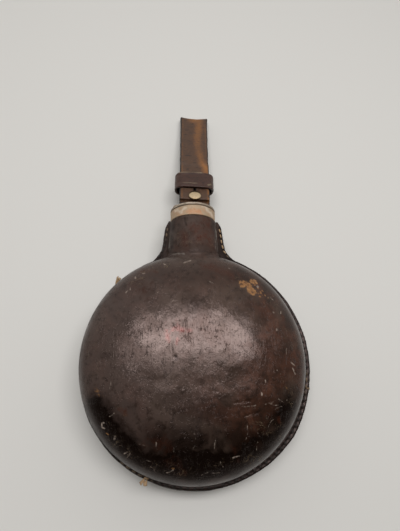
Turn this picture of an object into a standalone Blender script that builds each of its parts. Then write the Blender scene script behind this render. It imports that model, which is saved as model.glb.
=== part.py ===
"""Leather-covered field canteen: a round metal flask in a stitched leather cover,
with a screw cap that carries a buttoned leather strap and its sliding keeper.

Units are metres. The canteen lies on its back, as it does on a table: the origin is the
centre of the flat back, +Z points out of the front, +Y runs up through the neck and cap,
and +X is to the right of someone who looks at the front.
"""

import math

import bmesh
import bpy
import numpy as np
from mathutils import Matrix

# Clearance kept between pieces that touch
GAP = 0.0003

# Leather body, whose back is as deep as the seam lies above the table
SEAM_HEIGHT = 0.028
WALL_RADIUS = 0.0812
WALL_STRAIGHT = 0.006
FRONT_RISE = 0.035
FRONT_FLAT = 0.0
BACK_FLAT = 0.048
PLAN_SQUARENESS = 2.7
RISE_SQUARENESS = 2.6
LEATHER = 0.0022
DOME_RINGS = 8
BODY_STEPS = 48

# Seam flange that the two halves are stitched through, trimmed a little wider to the right
FLANGE_WIDTH = 0.0049
FLANGE_SHIFT = 0.002
FLANGE_FILLET = 0.004
FLANGE_STEPS = 60
STITCH_MARGIN = 0.0019
THREAD_RADIUS = 0.0006

# Leather neck along Y, which starts inside the body and stands up out of its wall
NECK_LENGTH = 0.0303
NECK_DEPTH = 0.0132
NECK_TOP_RADIUS = 0.019
NECK_ROOT_RADIUS = 0.0222
NECK_STEPS = 36

# Flange up each side of the neck, as pairs of height and width beyond the sleeve.
# The upper heights count from the neck's top, the flared ones from the body's wall.
NECK_FLANGE_UPPER = ((0.0015, 0.0020), (-0.0030, 0.0042), (-0.0105, 0.0047))
NECK_FLANGE_FLARE = ((0.0128, 0.0049), (0.0068, 0.0057), (0.0028, 0.0078))
NECK_FLANGE_SHIFT = 0.0005
STITCH_DROP = 0.004

# Metal flask and its neck tube, which is drawn in at the mouth
FLASK_WALL = 0.0008
RIM_LAP = 0.003
TUBE_WALL = 0.0009
MOUTH_RADIUS = 0.0146
SHOULDER_LENGTH = 0.0009

# Rolled thread of the neck collar and the cap
COLLAR_WALL = 0.001
THREAD_PITCH = 0.0042
THREAD_ROUND = 0.0009
THREAD_LEAD = 0.0016
THREAD_LAND = 0.0006

# Screw cap: skirt, beaded top plate with a spigot into the skirt, and cork disc
CAP_WALL = 0.0011
CAP_PLAY = 0.0006
CAP_BAND_LENGTH = 0.0086
CAP_TOP_PLATE = 0.001
BEAD_HEIGHT = 0.0022
HOLE_STEPS = 16
SPIGOT_WALL = 0.0008
SPIGOT_LENGTH = 0.0015
SEAL_THICKNESS = 0.0018

# Wire staple on the cap that the strap turns round
STAPLE_WIRE = 0.00115
STAPLE_PLAY = 0.00035
STAPLE_CORNER = 0.0016

# Strap, with distances along it from the staple
STRAP_WIDTH = 0.026
STRAP_THICKNESS = 0.0023
STRAP_SLACK = 0.0006
STRAP_REACH = 0.106
STRAP_SHIFT = 0.0015
STRAP_YAW = math.radians(1.3)
INNER_END = 0.036
OUTER_END = 0.0022
LAP_CLEARANCE = 0.004
LAP_LENGTH = 0.013
FOLD_STEPS = 10
LAP_STEPS = 6

# Set that the strap has taken: where it bends after the staple, and before the fold
BEND_START = 0.0105
BEND_FINISH = 0.0155
LIE_START = 0.018
LIE_FINISH = 0.006
DROOP_AT_STAPLE = math.radians(22.0)
DROOP_AT_FOLD = math.radians(4.0)
SPINE_STEPS = 200

# Button stud, set in from the strap's outer end, and the slit it is pushed through
STUD_INSET = 0.0036
STUD_RADIUS = 0.005
STUD_RISE = 0.002
STUD_SHANK = 0.0015
STUD_STEPS = 24
WASHER_RADIUS = 0.0036
WASHER_THICKNESS = 0.0008
SLIT_WIDTH = 0.0008
SLIT_LENGTH = 0.0072

# Leather keeper round the strap, parked above the slit
KEEPER_LENGTH = 0.0165
KEEPER_PARK = 0.003
KEEPER_PLAY = 0.0018
KEEPER_WALL = 0.0021
KEEPER_CORNER = 0.003

# Places and sizes that follow from those above
FLANGE_RADIUS = WALL_RADIUS + FLANGE_WIDTH
NECK_TOP = WALL_RADIUS + NECK_LENGTH
NECK_ROOT = WALL_RADIUS - NECK_DEPTH
COLLAR_RADIUS = MOUTH_RADIUS + GAP + COLLAR_WALL
CAP_RADIUS = COLLAR_RADIUS + THREAD_ROUND + CAP_PLAY + CAP_WALL
CAP_BOTTOM = NECK_TOP + GAP
CAP_TOP = CAP_BOTTOM + CAP_BAND_LENGTH + GAP + BEAD_HEIGHT
SEAL_TOP = CAP_TOP - CAP_TOP_PLATE - GAP
MOUTH_TOP = SEAL_TOP - SEAL_THICKNESS - GAP
THREAD_START = CAP_BOTTOM + THREAD_LEAD
THREAD_TURNS = (MOUTH_TOP - THREAD_LAND - THREAD_ROUND - THREAD_START) / THREAD_PITCH
STAPLE_HALF_SPAN = STRAP_WIDTH / 2 + STRAP_SHIFT + STAPLE_PLAY + STAPLE_WIRE
LAYER_OFFSET = STAPLE_WIRE + STRAP_SLACK + STRAP_THICKNESS / 2
OUTER_OFFSET = LAYER_OFFSET + STRAP_THICKNESS + GAP
BAR_Y = CAP_TOP + GAP + LAYER_OFFSET + STRAP_THICKNESS / 2 + STRAP_WIDTH / 2 * math.sin(STRAP_YAW)
LAP_START = INNER_END + LAP_CLEARANCE
LAP_FINISH = LAP_START + LAP_LENGTH
STUD_PLACE = OUTER_END + STUD_INSET
KEEPER_START = STUD_PLACE + SLIT_LENGTH + KEEPER_PARK
KEEPER_WIDTH = STRAP_WIDTH + 2 * (KEEPER_PLAY + KEEPER_WALL)


def clear_scene():
    """Remove whatever the file holds, and make the part's two collections."""
    for item in list(bpy.data.objects):
        bpy.data.objects.remove(item, do_unlink=True)
    part = bpy.data.collections.new("field_canteen")
    tools = bpy.data.collections.new("field_canteen_cutters")
    bpy.context.scene.collection.children.link(part)
    bpy.context.scene.collection.children.link(tools)
    return part, tools


PART, CUTTERS = clear_scene()


def finish_material(name, colour, roughness, metallic):
    """Principled finish of one kind of stuff."""
    finish = bpy.data.materials.new(name)
    finish.use_nodes = True
    shader = finish.node_tree.nodes["Principled BSDF"]
    shader.inputs["Base Color"].default_value = (*colour, 1.0)
    shader.inputs["Roughness"].default_value = roughness
    shader.inputs["Metallic"].default_value = metallic
    return finish


COVER_LEATHER = finish_material("cover_leather", (0.045, 0.020, 0.014), 0.42, 0.0)
STRAP_LEATHER = finish_material("strap_leather", (0.090, 0.045, 0.026), 0.50, 0.0)
KEEPER_LEATHER = finish_material("keeper_leather", (0.055, 0.035, 0.032), 0.48, 0.0)
LINEN = finish_material("linen_thread", (0.300, 0.200, 0.100), 0.85, 0.0)
PLATED = finish_material("worn_plated_brass", (0.560, 0.430, 0.300), 0.38, 1.0)
BRASS = finish_material("flask_metal", (0.620, 0.560, 0.460), 0.35, 1.0)
CORK = finish_material("cork", (0.420, 0.270, 0.150), 0.90, 0.0)


def add_part(item, finish):
    """Put a finished piece in the part's collection, with its finish."""
    for home in list(item.users_collection):
        home.objects.unlink(item)
    PART.objects.link(item)
    item.data.materials.clear()
    item.data.materials.append(finish)
    item.data.shade_smooth()
    item.data.set_sharp_from_angle(angle=math.radians(35))
    return item


def add_cutter(item):
    """Put a shape that only cuts or joins others among the cutters."""
    for home in list(item.users_collection):
        home.objects.unlink(item)
    CUTTERS.objects.link(item)
    item.hide_render = True
    item.display_type = "WIRE"
    return item


def frame_empty(name, place, turn, parent=None):
    """Empty on a joint's axis, which the moving pieces are parented to."""
    empty = bpy.data.objects.new(name, None)
    empty.location = place
    empty.rotation_euler = turn
    empty.parent = parent
    PART.objects.link(empty)
    bpy.context.view_layer.update()
    return empty


def keep_place(item, parent):
    """Parent a piece without moving it."""
    bpy.context.view_layer.update()
    item.parent = parent
    item.matrix_parent_inverse = parent.matrix_world.inverted()


def turned(name, outline, steps, closed=False):
    """Turn an outline of (radius, height) points round local Z."""
    mesh = bpy.data.meshes.new(name)
    count = len(outline)
    edges = [(index, index + 1) for index in range(count - 1)]
    if closed:
        edges.append((count - 1, 0))
    mesh.from_pydata([(radius, 0.0, height) for radius, height in outline], edges, [])
    item = bpy.data.objects.new(name, mesh)
    bpy.context.scene.collection.objects.link(item)
    spin = item.modifiers.new("turn", "SCREW")
    spin.axis = "Z"
    spin.steps = steps
    spin.render_steps = steps
    spin.use_merge_vertices = True
    spin.merge_threshold = 0.00001
    return item


def upright(item):
    """Lay a shape turned about Z along the neck, so that its height runs up +Y."""
    item.location = (0.0, 0.0, SEAM_HEIGHT)
    item.rotation_euler = (-math.pi / 2, 0.0, 0.0)
    return item


def combine(item, other, operation):
    """Cut another shape from a piece, or join it on."""
    step = item.modifiers.new(other.name, "BOOLEAN")
    step.operation = operation
    step.object = add_cutter(other)
    step.solver = "EXACT"


def curve_to_mesh(curve, name):
    """Welded mesh of a curve object, which the curve gives way to."""
    bpy.context.view_layer.update()
    graph = bpy.context.evaluated_depsgraph_get()
    mesh = bpy.data.meshes.new_from_object(curve.evaluated_get(graph))
    welded = bmesh.new()
    welded.from_mesh(mesh)
    bmesh.ops.remove_doubles(welded, verts=welded.verts, dist=0.00001)
    bmesh.ops.recalc_face_normals(welded, faces=welded.faces)
    welded.to_mesh(mesh)
    welded.free()
    item = bpy.data.objects.new(name, mesh)
    item.matrix_world = curve.matrix_world
    bpy.context.scene.collection.objects.link(item)
    bpy.data.objects.remove(curve, do_unlink=True)
    return item


def wire(name, points, radius, roundness=2):
    """Round wire or thread with closed ends along a list of points."""
    curve = bpy.data.curves.new(name, "CURVE")
    curve.dimensions = "3D"
    curve.bevel_depth = radius
    curve.bevel_resolution = roundness
    curve.use_fill_caps = True
    spline = curve.splines.new("POLY")
    spline.points.add(len(points) - 1)
    for point, place in zip(spline.points, points):
        point.co = (*place, 1.0)
    item = bpy.data.objects.new(name + "_path", curve)
    bpy.context.scene.collection.objects.link(item)
    return curve_to_mesh(item, name)


def plate(name, outlines, half_thickness):
    """Flat plate of the outlines in local XY, with inner outlines as holes."""
    curve = bpy.data.curves.new(name, "CURVE")
    curve.dimensions = "2D"
    curve.fill_mode = "BOTH"
    curve.extrude = half_thickness
    for outline in outlines:
        spline = curve.splines.new("POLY")
        spline.points.add(len(outline) - 1)
        for point, place in zip(spline.points, outline):
            point.co = (*place, 0.0, 1.0)
        spline.use_cyclic_u = True
    item = bpy.data.objects.new(name + "_outline", curve)
    bpy.context.scene.collection.objects.link(item)
    return curve_to_mesh(item, name)


def block(name, low, high):
    """Box between two corners."""
    mesh = bpy.data.meshes.new(name)
    shape = bmesh.new()
    bmesh.ops.create_cube(shape, size=1.0)
    size = [top - bottom for bottom, top in zip(low, high)]
    middle = [(top + bottom) / 2 for bottom, top in zip(low, high)]
    bmesh.ops.transform(shape, matrix=Matrix.Diagonal((*size, 1.0)), verts=shape.verts)
    bmesh.ops.translate(shape, vec=middle, verts=shape.verts)
    shape.to_mesh(mesh)
    shape.free()
    item = bpy.data.objects.new(name, mesh)
    bpy.context.scene.collection.objects.link(item)
    return item


def body_outline(rise, flat, inset):
    """Outline of one half of the body from its pole to the seam, drawn in by inset."""
    widest = WALL_RADIUS - inset
    crown = rise - inset
    points = [(0.0, crown)] if flat else []
    for ring in range(DOME_RINGS + 1):
        turn = 0.5 * math.pi * ring / DOME_RINGS
        radius = flat + (widest - flat) * math.sin(turn) ** (2 / PLAN_SQUARENESS)
        height = WALL_STRAIGHT + (crown - WALL_STRAIGHT) * math.cos(turn) ** (2 / RISE_SQUARENESS)
        points.append((radius, height))
    return points


def neck_radius(height):
    """Outer radius of the leather neck at a height along Y."""
    share = (height - NECK_ROOT) / (NECK_TOP - NECK_ROOT)
    return NECK_ROOT_RADIUS + (NECK_TOP_RADIUS - NECK_ROOT_RADIUS) * share


def neck_core(name, inset, low, high):
    """Solid cone along the neck, drawn in from the leather's outer face by inset."""
    outline = [(0.0, high), (neck_radius(high) - inset, high), (neck_radius(low) - inset, low), (0.0, low)]
    return upright(turned(name, outline, NECK_STEPS))


def neck_sides(top):
    """Heights down the neck's flange from top to the body, with its half width at each."""
    stations = [(NECK_TOP + rise, width) for rise, width in NECK_FLANGE_UPPER]
    stations += [(WALL_RADIUS + rise, width) for rise, width in NECK_FLANGE_FLARE]
    heights = [height for height, width in stations]
    widths = [neck_radius(height) + width for height, width in stations]
    kept = [top] + [height for height in heights if height < top]
    return [(height, float(np.interp(height, heights[::-1], widths[::-1]))) for height in kept]


def seam_ring(inset, shift, top):
    """Outline of the seam from its right neck top down, round the body and up the left side.

    The outline is drawn in from the flange's edge by inset, and its circle is moved across by
    shift. The neck is taken up to top only.
    """
    radius = FLANGE_RADIUS - inset
    sides = neck_sides(top)
    right = [(NECK_FLANGE_SHIFT + width - inset, height) for height, width in sides]
    left = [(NECK_FLANGE_SHIFT - width + inset, height) for height, width in sides]
    first = math.asin((right[-1][0] + FLANGE_FILLET - shift) / radius)
    last = 2 * math.pi + math.asin((left[-1][0] - FLANGE_FILLET - shift) / radius)
    arc = []
    for step in range(FLANGE_STEPS + 1):
        turn = first + (last - first) * step / FLANGE_STEPS
        arc.append((shift + radius * math.sin(turn), radius * math.cos(turn)))
    return right + arc + left[::-1]


def flange_plate(name):
    """Seam flange of one half, reaching past the seam plane that trims it."""
    outline = seam_ring(0.0, FLANGE_SHIFT, NECK_TOP + NECK_FLANGE_UPPER[0][0])
    item = plate(name, [outline], LEATHER + GAP / 2)
    item.location = (0.0, 0.0, SEAM_HEIGHT)
    return item


def body_solid(name, rise, flat, inset, sign):
    """Solid of one half of the body, reaching past the seam plane that trims it."""
    outline = body_outline(rise, flat, inset)
    overlap = LEATHER * 2
    outline += [(outline[-1][0], -overlap), (0.0, -overlap)]
    item = turned(name, outline, BODY_STEPS)
    item.location = (0.0, 0.0, SEAM_HEIGHT)
    if sign < 0:
        item.rotation_euler = (math.pi, 0.0, 0.0)
    return item


def leather_cover(name, rise, flat, sign):
    """Moulded half of the cover: domed body, half the neck and the seam flange."""
    cover = body_solid(name, rise, flat, 0.0, sign)
    combine(cover, neck_core(name + "_neck", 0.0, NECK_ROOT, NECK_TOP), "UNION")
    combine(cover, flange_plate(name + "_flange"), "UNION")
    combine(cover, body_solid(name + "_hollow", rise, flat, LEATHER, sign), "DIFFERENCE")
    bore = neck_core(name + "_bore", LEATHER, NECK_ROOT - LEATHER, NECK_TOP + LEATHER)
    combine(cover, bore, "DIFFERENCE")
    clear = CAP_RADIUS + GAP
    way = [(0.0, CAP_TOP), (clear, CAP_TOP), (clear, NECK_TOP), (0.0, NECK_TOP)]
    combine(cover, upright(turned(name + "_cap_way", way, NECK_STEPS)), "DIFFERENCE")
    reach = 2 * FLANGE_RADIUS
    edge = SEAM_HEIGHT + sign * GAP / 2
    far = SEAM_HEIGHT - sign * reach
    low = (-reach, -reach, min(edge, far))
    high = (reach, reach, max(edge, far))
    combine(cover, block(name + "_trim", low, high), "DIFFERENCE")
    return add_part(cover, COVER_LEATHER)


def cover_pair():
    """Front and back halves of the leather cover."""
    leather_cover("cover_front", FRONT_RISE, FRONT_FLAT, 1)
    leather_cover("cover_back", SEAM_HEIGHT, BACK_FLAT, -1)


def seam_threads():
    """Row of stitches on each face of the seam, as the line that the thread follows."""
    route = seam_ring(STITCH_MARGIN, FLANGE_SHIFT / 2, NECK_TOP - STITCH_DROP)
    level = GAP / 2 + LEATHER + GAP + THREAD_RADIUS
    for name, sign in (("seam_thread_front", 1), ("seam_thread_back", -1)):
        points = [(across, along, SEAM_HEIGHT + sign * level) for across, along in route]
        add_part(wire(name, points, THREAD_RADIUS, 1), LINEN)


def flask_shells():
    """Two pressed halves of the metal flask, the front one tucked into the back one."""
    outer = LEATHER + GAP
    inner = outer + FLASK_WALL
    wall = WALL_RADIUS - outer
    bore = WALL_RADIUS - inner
    tuck = bore - GAP
    front = body_outline(FRONT_RISE, FRONT_FLAT, outer)
    front += [(wall, GAP / 2), (tuck, GAP / 2), (tuck, -RIM_LAP), (tuck - FLASK_WALL, -RIM_LAP)]
    front += [(tuck - FLASK_WALL, GAP / 2 + FLASK_WALL)]
    front += body_outline(FRONT_RISE, FRONT_FLAT, inner)[::-1]
    back = body_outline(SEAM_HEIGHT, BACK_FLAT, outer)
    back += [(wall, GAP / 2), (bore, GAP / 2)]
    back += body_outline(SEAM_HEIGHT, BACK_FLAT, inner)[::-1]
    for name, outline, turn in (("flask_front_shell", front, 0.0), ("flask_back_shell", back, math.pi)):
        shell = turned(name, outline, BODY_STEPS)
        shell.location = (0.0, 0.0, SEAM_HEIGHT)
        shell.rotation_euler = (turn, 0.0, 0.0)
        hole = neck_core(name + "_hole", LEATHER, NECK_ROOT - LEATHER, NECK_TOP)
        combine(shell, hole, "DIFFERENCE")
        add_part(shell, BRASS)


def neck_tube():
    """Conical neck let into both shells, drawn in above the leather to take the collar."""
    inset = LEATHER + GAP
    outline = [(MOUTH_RADIUS, MOUTH_TOP), (MOUTH_RADIUS, NECK_TOP + SHOULDER_LENGTH)]
    outline += [(neck_radius(height) - inset, height) for height in (NECK_TOP, NECK_ROOT)]
    outline += [(radius - TUBE_WALL, height) for radius, height in outline[::-1]]
    tube = upright(turned("neck_tube", outline, NECK_STEPS, closed=True))
    add_part(tube, BRASS)


def helix(name, radius, start, phase):
    """Rolled ridge of the thread, right-handed as it climbs along the neck.

    Its ends lie between the ring's facet edges, so that the two join cleanly.
    """
    count = round(THREAD_TURNS * NECK_STEPS)
    points = []
    for step in range(count + 1):
        turn = 2 * math.pi * step / NECK_STEPS
        angle = turn + phase + math.pi / NECK_STEPS
        height = start + THREAD_PITCH * turn / (2 * math.pi)
        points.append((radius * math.cos(angle), radius * math.sin(angle), height))
    return upright(wire(name, points, THREAD_ROUND))


def neck_collar():
    """Threaded ring soldered round the mouth."""
    bore = MOUTH_RADIUS + GAP
    low = NECK_TOP + SHOULDER_LENGTH + GAP
    outline = [(COLLAR_RADIUS, MOUTH_TOP), (COLLAR_RADIUS, low), (bore, low), (bore, MOUTH_TOP)]
    ring = upright(turned("neck_collar", outline, NECK_STEPS, closed=True))
    ridge = helix("neck_collar_ridge", COLLAR_RADIUS, THREAD_START, 0.0)
    combine(ring, ridge, "UNION")
    add_part(ring, BRASS)


def cap_band(parent):
    """Skirt of the screw cap, with the ridge that runs in the collar's thread."""
    bore = CAP_RADIUS - CAP_WALL
    top = CAP_BOTTOM + CAP_BAND_LENGTH
    soft = CAP_WALL / 4
    outline = [(CAP_RADIUS - soft, top), (CAP_RADIUS, top - soft), (CAP_RADIUS, CAP_BOTTOM + soft)]
    outline += [(CAP_RADIUS - soft, CAP_BOTTOM), (bore, CAP_BOTTOM), (bore, top)]
    band = upright(turned("cap_band", outline, NECK_STEPS, closed=True))
    ridge = helix("cap_band_ridge", COLLAR_RADIUS + GAP + THREAD_ROUND, THREAD_START, math.pi)
    combine(band, ridge, "UNION")
    add_part(band, PLATED)
    keep_place(band, parent)


def cap_top(parent):
    """Top of the cap: a beaded plate with a spigot soldered into the band."""
    low = CAP_TOP - BEAD_HEIGHT
    crown = CAP_RADIUS - BEAD_HEIGHT / 4
    shoulder = CAP_RADIUS - BEAD_HEIGHT / 12
    spigot = CAP_RADIUS - CAP_WALL - GAP
    bore = spigot - SPIGOT_WALL
    under = CAP_TOP - CAP_TOP_PLATE
    outline = [(0.0, CAP_TOP), (crown, CAP_TOP), (shoulder, CAP_TOP - BEAD_HEIGHT / 4)]
    outline += [(CAP_RADIUS, CAP_TOP - BEAD_HEIGHT / 2), (shoulder, low + BEAD_HEIGHT / 4), (crown, low)]
    outline += [(spigot, low), (spigot, low - SPIGOT_LENGTH), (bore, low - SPIGOT_LENGTH)]
    outline += [(bore, under), (0.0, under)]
    top = upright(turned("cap_top", outline, NECK_STEPS))
    for name, side in (("staple_hole_left", -1), ("staple_hole_right", 1)):
        high = CAP_TOP + CAP_TOP_PLATE
        wide = STAPLE_WIRE + GAP
        hole = [(0.0, high), (wide, high), (wide, under - GAP), (0.0, under - GAP)]
        drill = upright(turned(name, hole, HOLE_STEPS))
        drill.location.x = side * STAPLE_HALF_SPAN
        combine(top, drill, "DIFFERENCE")
    add_part(top, PLATED)
    keep_place(top, parent)


def cap_seal(parent):
    """Cork disc between the cap's plate and the mouth."""
    radius = CAP_RADIUS - CAP_WALL - GAP - SPIGOT_WALL - GAP
    low = SEAL_TOP - SEAL_THICKNESS
    outline = [(0.0, SEAL_TOP), (radius, SEAL_TOP), (radius, low), (0.0, low)]
    seal = upright(turned("cap_seal", outline, NECK_STEPS))
    add_part(seal, CORK)
    keep_place(seal, parent)


def strap_staple(parent):
    """Wire staple whose two legs are soldered through the cap's plate."""
    foot = CAP_TOP - CAP_TOP_PLATE + GAP / 2
    points = [(-STAPLE_HALF_SPAN, foot, SEAM_HEIGHT)]
    for side, steps in ((-1, range(5)), (1, range(4, -1, -1))):
        for step in steps:
            turn = 0.5 * math.pi * step / 4
            across = side * (STAPLE_HALF_SPAN - STAPLE_CORNER + STAPLE_CORNER * math.cos(turn))
            along = BAR_Y - STAPLE_CORNER + STAPLE_CORNER * math.sin(turn)
            points.append((across, along, SEAM_HEIGHT))
    points.append((STAPLE_HALF_SPAN, foot, SEAM_HEIGHT))
    staple = wire("strap_staple", points, STAPLE_WIRE)
    add_part(staple, PLATED)
    keep_place(staple, parent)


def arc_points(centre, radius, start, end, steps):
    """Points of an arc in the strap's side view."""
    places = []
    for step in range(steps + 1):
        turn = start + (end - start) * step / steps
        places.append((centre + radius * math.cos(turn), radius * math.sin(turn)))
    return places


def ease(value, start, end):
    """Smooth step from 0 at start to 1 at end."""
    share = min(max((value - start) / (end - start), 0.0), 1.0)
    return 0.5 - 0.5 * math.cos(math.pi * share)


def middle_droop():
    """Slope of the strap's straight stretch, which lets its fold come down to the table."""
    first = (BEND_START + BEND_FINISH) / 2
    last = (LIE_START + LIE_FINISH) / 2
    fall = SEAM_HEIGHT - LAYER_OFFSET - STRAP_THICKNESS / 2
    fall -= first * math.sin(DROOP_AT_STAPLE) + last * math.sin(DROOP_AT_FOLD)
    return math.asin(fall / (STRAP_REACH - first - last))


def slope_at(along):
    """Slope of the strap at a distance along it, against its straight stretch."""
    bent = 1.0 - ease(along, BEND_START, BEND_FINISH)
    lying = ease(along, STRAP_REACH - LIE_START, STRAP_REACH - LIE_FINISH)
    straight = middle_droop()
    return (DROOP_AT_STAPLE - straight) * bent + (DROOP_AT_FOLD - straight) * lying


def spine(along):
    """Place and slope of the strap's middle, seen from the side in the pivot's frame."""
    stride = along / SPINE_STEPS
    slopes = [slope_at(stride * (step + 0.5)) for step in range(SPINE_STEPS)]
    level = stride * sum(math.cos(slope) for slope in slopes)
    height = -stride * sum(math.sin(slope) for slope in slopes)
    return level, height, slope_at(along)


def on_strap(along, up):
    """Point at a distance along the strap and up through its layers, in side view."""
    level, height, slope = spine(along)
    return level + up * math.sin(slope), height + up * math.cos(slope)


def strap_run(start, end, up):
    """Points of one layer, with more of them where the strap is bent."""
    bends = []
    for low, high in ((BEND_START, BEND_FINISH), (STRAP_REACH - LIE_START, STRAP_REACH - LIE_FINISH)):
        bends += [low + (high - low) * step / 4 for step in range(5)]
    inner = [along for along in bends if min(start, end) < along < max(start, end)]
    inner.sort(reverse=start > end)
    return [(along, up) for along in [start] + inner + [end]]


def strap_route():
    """Middle line of the strap's leather in side view, from its inner end to its outer one."""
    route = strap_run(INNER_END, GAP, LAYER_OFFSET)
    route += arc_points(0.0, LAYER_OFFSET, 0.5 * math.pi, 1.5 * math.pi, FOLD_STEPS)
    route += strap_run(GAP, STRAP_REACH - GAP, -LAYER_OFFSET)
    route += arc_points(STRAP_REACH, LAYER_OFFSET, -0.5 * math.pi, 0.5 * math.pi, FOLD_STEPS)
    route += strap_run(STRAP_REACH - GAP, LAP_FINISH + GAP, LAYER_OFFSET)
    for step in range(LAP_STEPS + 1):
        along = LAP_FINISH - LAP_LENGTH * step / LAP_STEPS
        climb = (OUTER_OFFSET - LAYER_OFFSET) * (1.0 - ease(along, LAP_START, LAP_FINISH))
        route.append((along, LAYER_OFFSET + climb))
    route += strap_run(LAP_START - GAP, OUTER_END, OUTER_OFFSET)
    return [on_strap(along, up) for along, up in route]


def place_on_strap(item, along, parent):
    """Stand a piece square on the strap at a distance along it."""
    level, height, slope = spine(along)
    item.location = (0.0, level, height)
    item.rotation_euler = (-slope, 0.0, 0.0)
    item.parent = parent


def ribbon(name, route, width):
    """Open surface of a flat strip whose side view, along and up, is the route."""
    curve = bpy.data.curves.new(name, "CURVE")
    curve.dimensions = "2D"
    curve.fill_mode = "NONE"
    curve.extrude = width / 2
    spline = curve.splines.new("POLY")
    spline.points.add(len(route) - 1)
    for point, place in zip(spline.points, route):
        point.co = (*place, 0.0, 1.0)
    item = bpy.data.objects.new(name + "_line", curve)
    item.rotation_euler = (math.pi / 2, 0.0, math.pi / 2)
    bpy.context.scene.collection.objects.link(item)
    return curve_to_mesh(item, name)


def strap(parent):
    """One length of leather: round the staple, up the back, over and down to the stud."""
    belt = ribbon("strap", strap_route(), STRAP_WIDTH)
    belt.parent = parent
    thick = belt.modifiers.new("leather", "SOLIDIFY")
    thick.thickness = STRAP_THICKNESS
    thick.offset = 0.0
    thick.use_even_offset = True
    high = OUTER_OFFSET + 2 * STRAP_THICKNESS
    bore = STUD_SHANK + GAP
    hole = turned("stud_hole", [(0.0, high), (bore, high), (bore, 0.0), (0.0, 0.0)], HOLE_STEPS)
    low = LAYER_OFFSET + STRAP_THICKNESS / 2 + GAP / 2
    slit = block("stud_slit", (-SLIT_WIDTH / 2, 0.0, low), (SLIT_WIDTH / 2, SLIT_LENGTH, high))
    for tool in (hole, slit):
        place_on_strap(tool, STUD_PLACE, parent)
        combine(belt, tool, "DIFFERENCE")
    add_part(belt, STRAP_LEATHER)


def strap_stud(parent):
    """Domed button stud riveted through the strap's inner end."""
    face = OUTER_OFFSET + STRAP_THICKNESS / 2 + GAP
    under = LAYER_OFFSET - STRAP_THICKNESS / 2 - GAP
    tail = under - WASHER_THICKNESS - GAP
    rim = STUD_RISE / 4
    outline = [(0.0, face + STUD_RISE)]
    for step in range(1, 5):
        turn = 0.5 * math.pi * step / 4
        outline.append((STUD_RADIUS * math.sin(turn), face + rim + (STUD_RISE - rim) * math.cos(turn)))
    outline += [(STUD_RADIUS - GAP, face), (STUD_SHANK, face), (STUD_SHANK, tail)]
    outline += [(STUD_SHANK * 1.5, tail), (STUD_SHANK, tail - 2 * GAP), (0.0, tail - 3 * GAP)]
    stud = turned("strap_stud", outline, STUD_STEPS)
    place_on_strap(stud, STUD_PLACE, parent)
    add_part(stud, PLATED)
    bore = STUD_SHANK + GAP
    ring = [(WASHER_RADIUS, under), (WASHER_RADIUS, under - WASHER_THICKNESS)]
    ring += [(bore, under - WASHER_THICKNESS), (bore, under)]
    washer = turned("stud_washer", ring, STUD_STEPS, closed=True)
    place_on_strap(washer, STUD_PLACE, parent)
    add_part(washer, BRASS)


def rounded_rectangle(width, low, high, corner, steps=4):
    """Outline of a rectangle with round corners, centred across."""
    half = width / 2 - corner
    centres = ((half, high - corner, 0.0), (-half, high - corner, 0.5))
    centres += ((-half, low + corner, 1.0), (half, low + corner, 1.5))
    places = []
    for across, up, quarter in centres:
        for step in range(steps + 1):
            turn = math.pi * (quarter + 0.5 * step / steps)
            places.append((across + corner * math.cos(turn), up + corner * math.sin(turn)))
    return places


def strap_keeper(parent):
    """Leather band round the strap, closed on itself behind."""
    bottom = -LAYER_OFFSET - STRAP_THICKNESS / 2 - STRAP_SLACK
    top = OUTER_OFFSET + STRAP_THICKNESS / 2 + STRAP_SLACK
    outer = rounded_rectangle(KEEPER_WIDTH, bottom - KEEPER_WALL, top + KEEPER_WALL, KEEPER_CORNER)
    bore_width = KEEPER_WIDTH - 2 * KEEPER_WALL
    bore = rounded_rectangle(bore_width, bottom, top, KEEPER_CORNER - KEEPER_WALL)
    band = plate("strap_keeper", [outer, bore], KEEPER_LENGTH / 2)
    level, height, slope = spine(KEEPER_START + KEEPER_LENGTH / 2)
    band.location = (0.0, level, height)
    band.rotation_euler = (math.pi / 2 - slope, 0.0, 0.0)
    band.parent = parent
    add_part(band, KEEPER_LEATHER)


def build():
    """Put the canteen together from the flask outwards."""
    cap_frame = frame_empty("cap_axis", (0.0, CAP_TOP, SEAM_HEIGHT), (0.0, 0.0, 0.0))
    pivot = (STRAP_SHIFT, BAR_Y - CAP_TOP, 0.0)
    strap_frame = frame_empty("strap_pivot", pivot, (-middle_droop(), 0.0, -STRAP_YAW), cap_frame)
    flask_shells()
    neck_tube()
    neck_collar()
    cover_pair()
    seam_threads()
    cap_band(cap_frame)
    cap_top(cap_frame)
    cap_seal(cap_frame)
    strap_staple(cap_frame)
    strap(strap_frame)
    strap_stud(strap_frame)
    strap_keeper(strap_frame)


build()
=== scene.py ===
import math
import random

import bpy
import numpy as np
from mathutils import Matrix, Quaternion, Vector, noise


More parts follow.
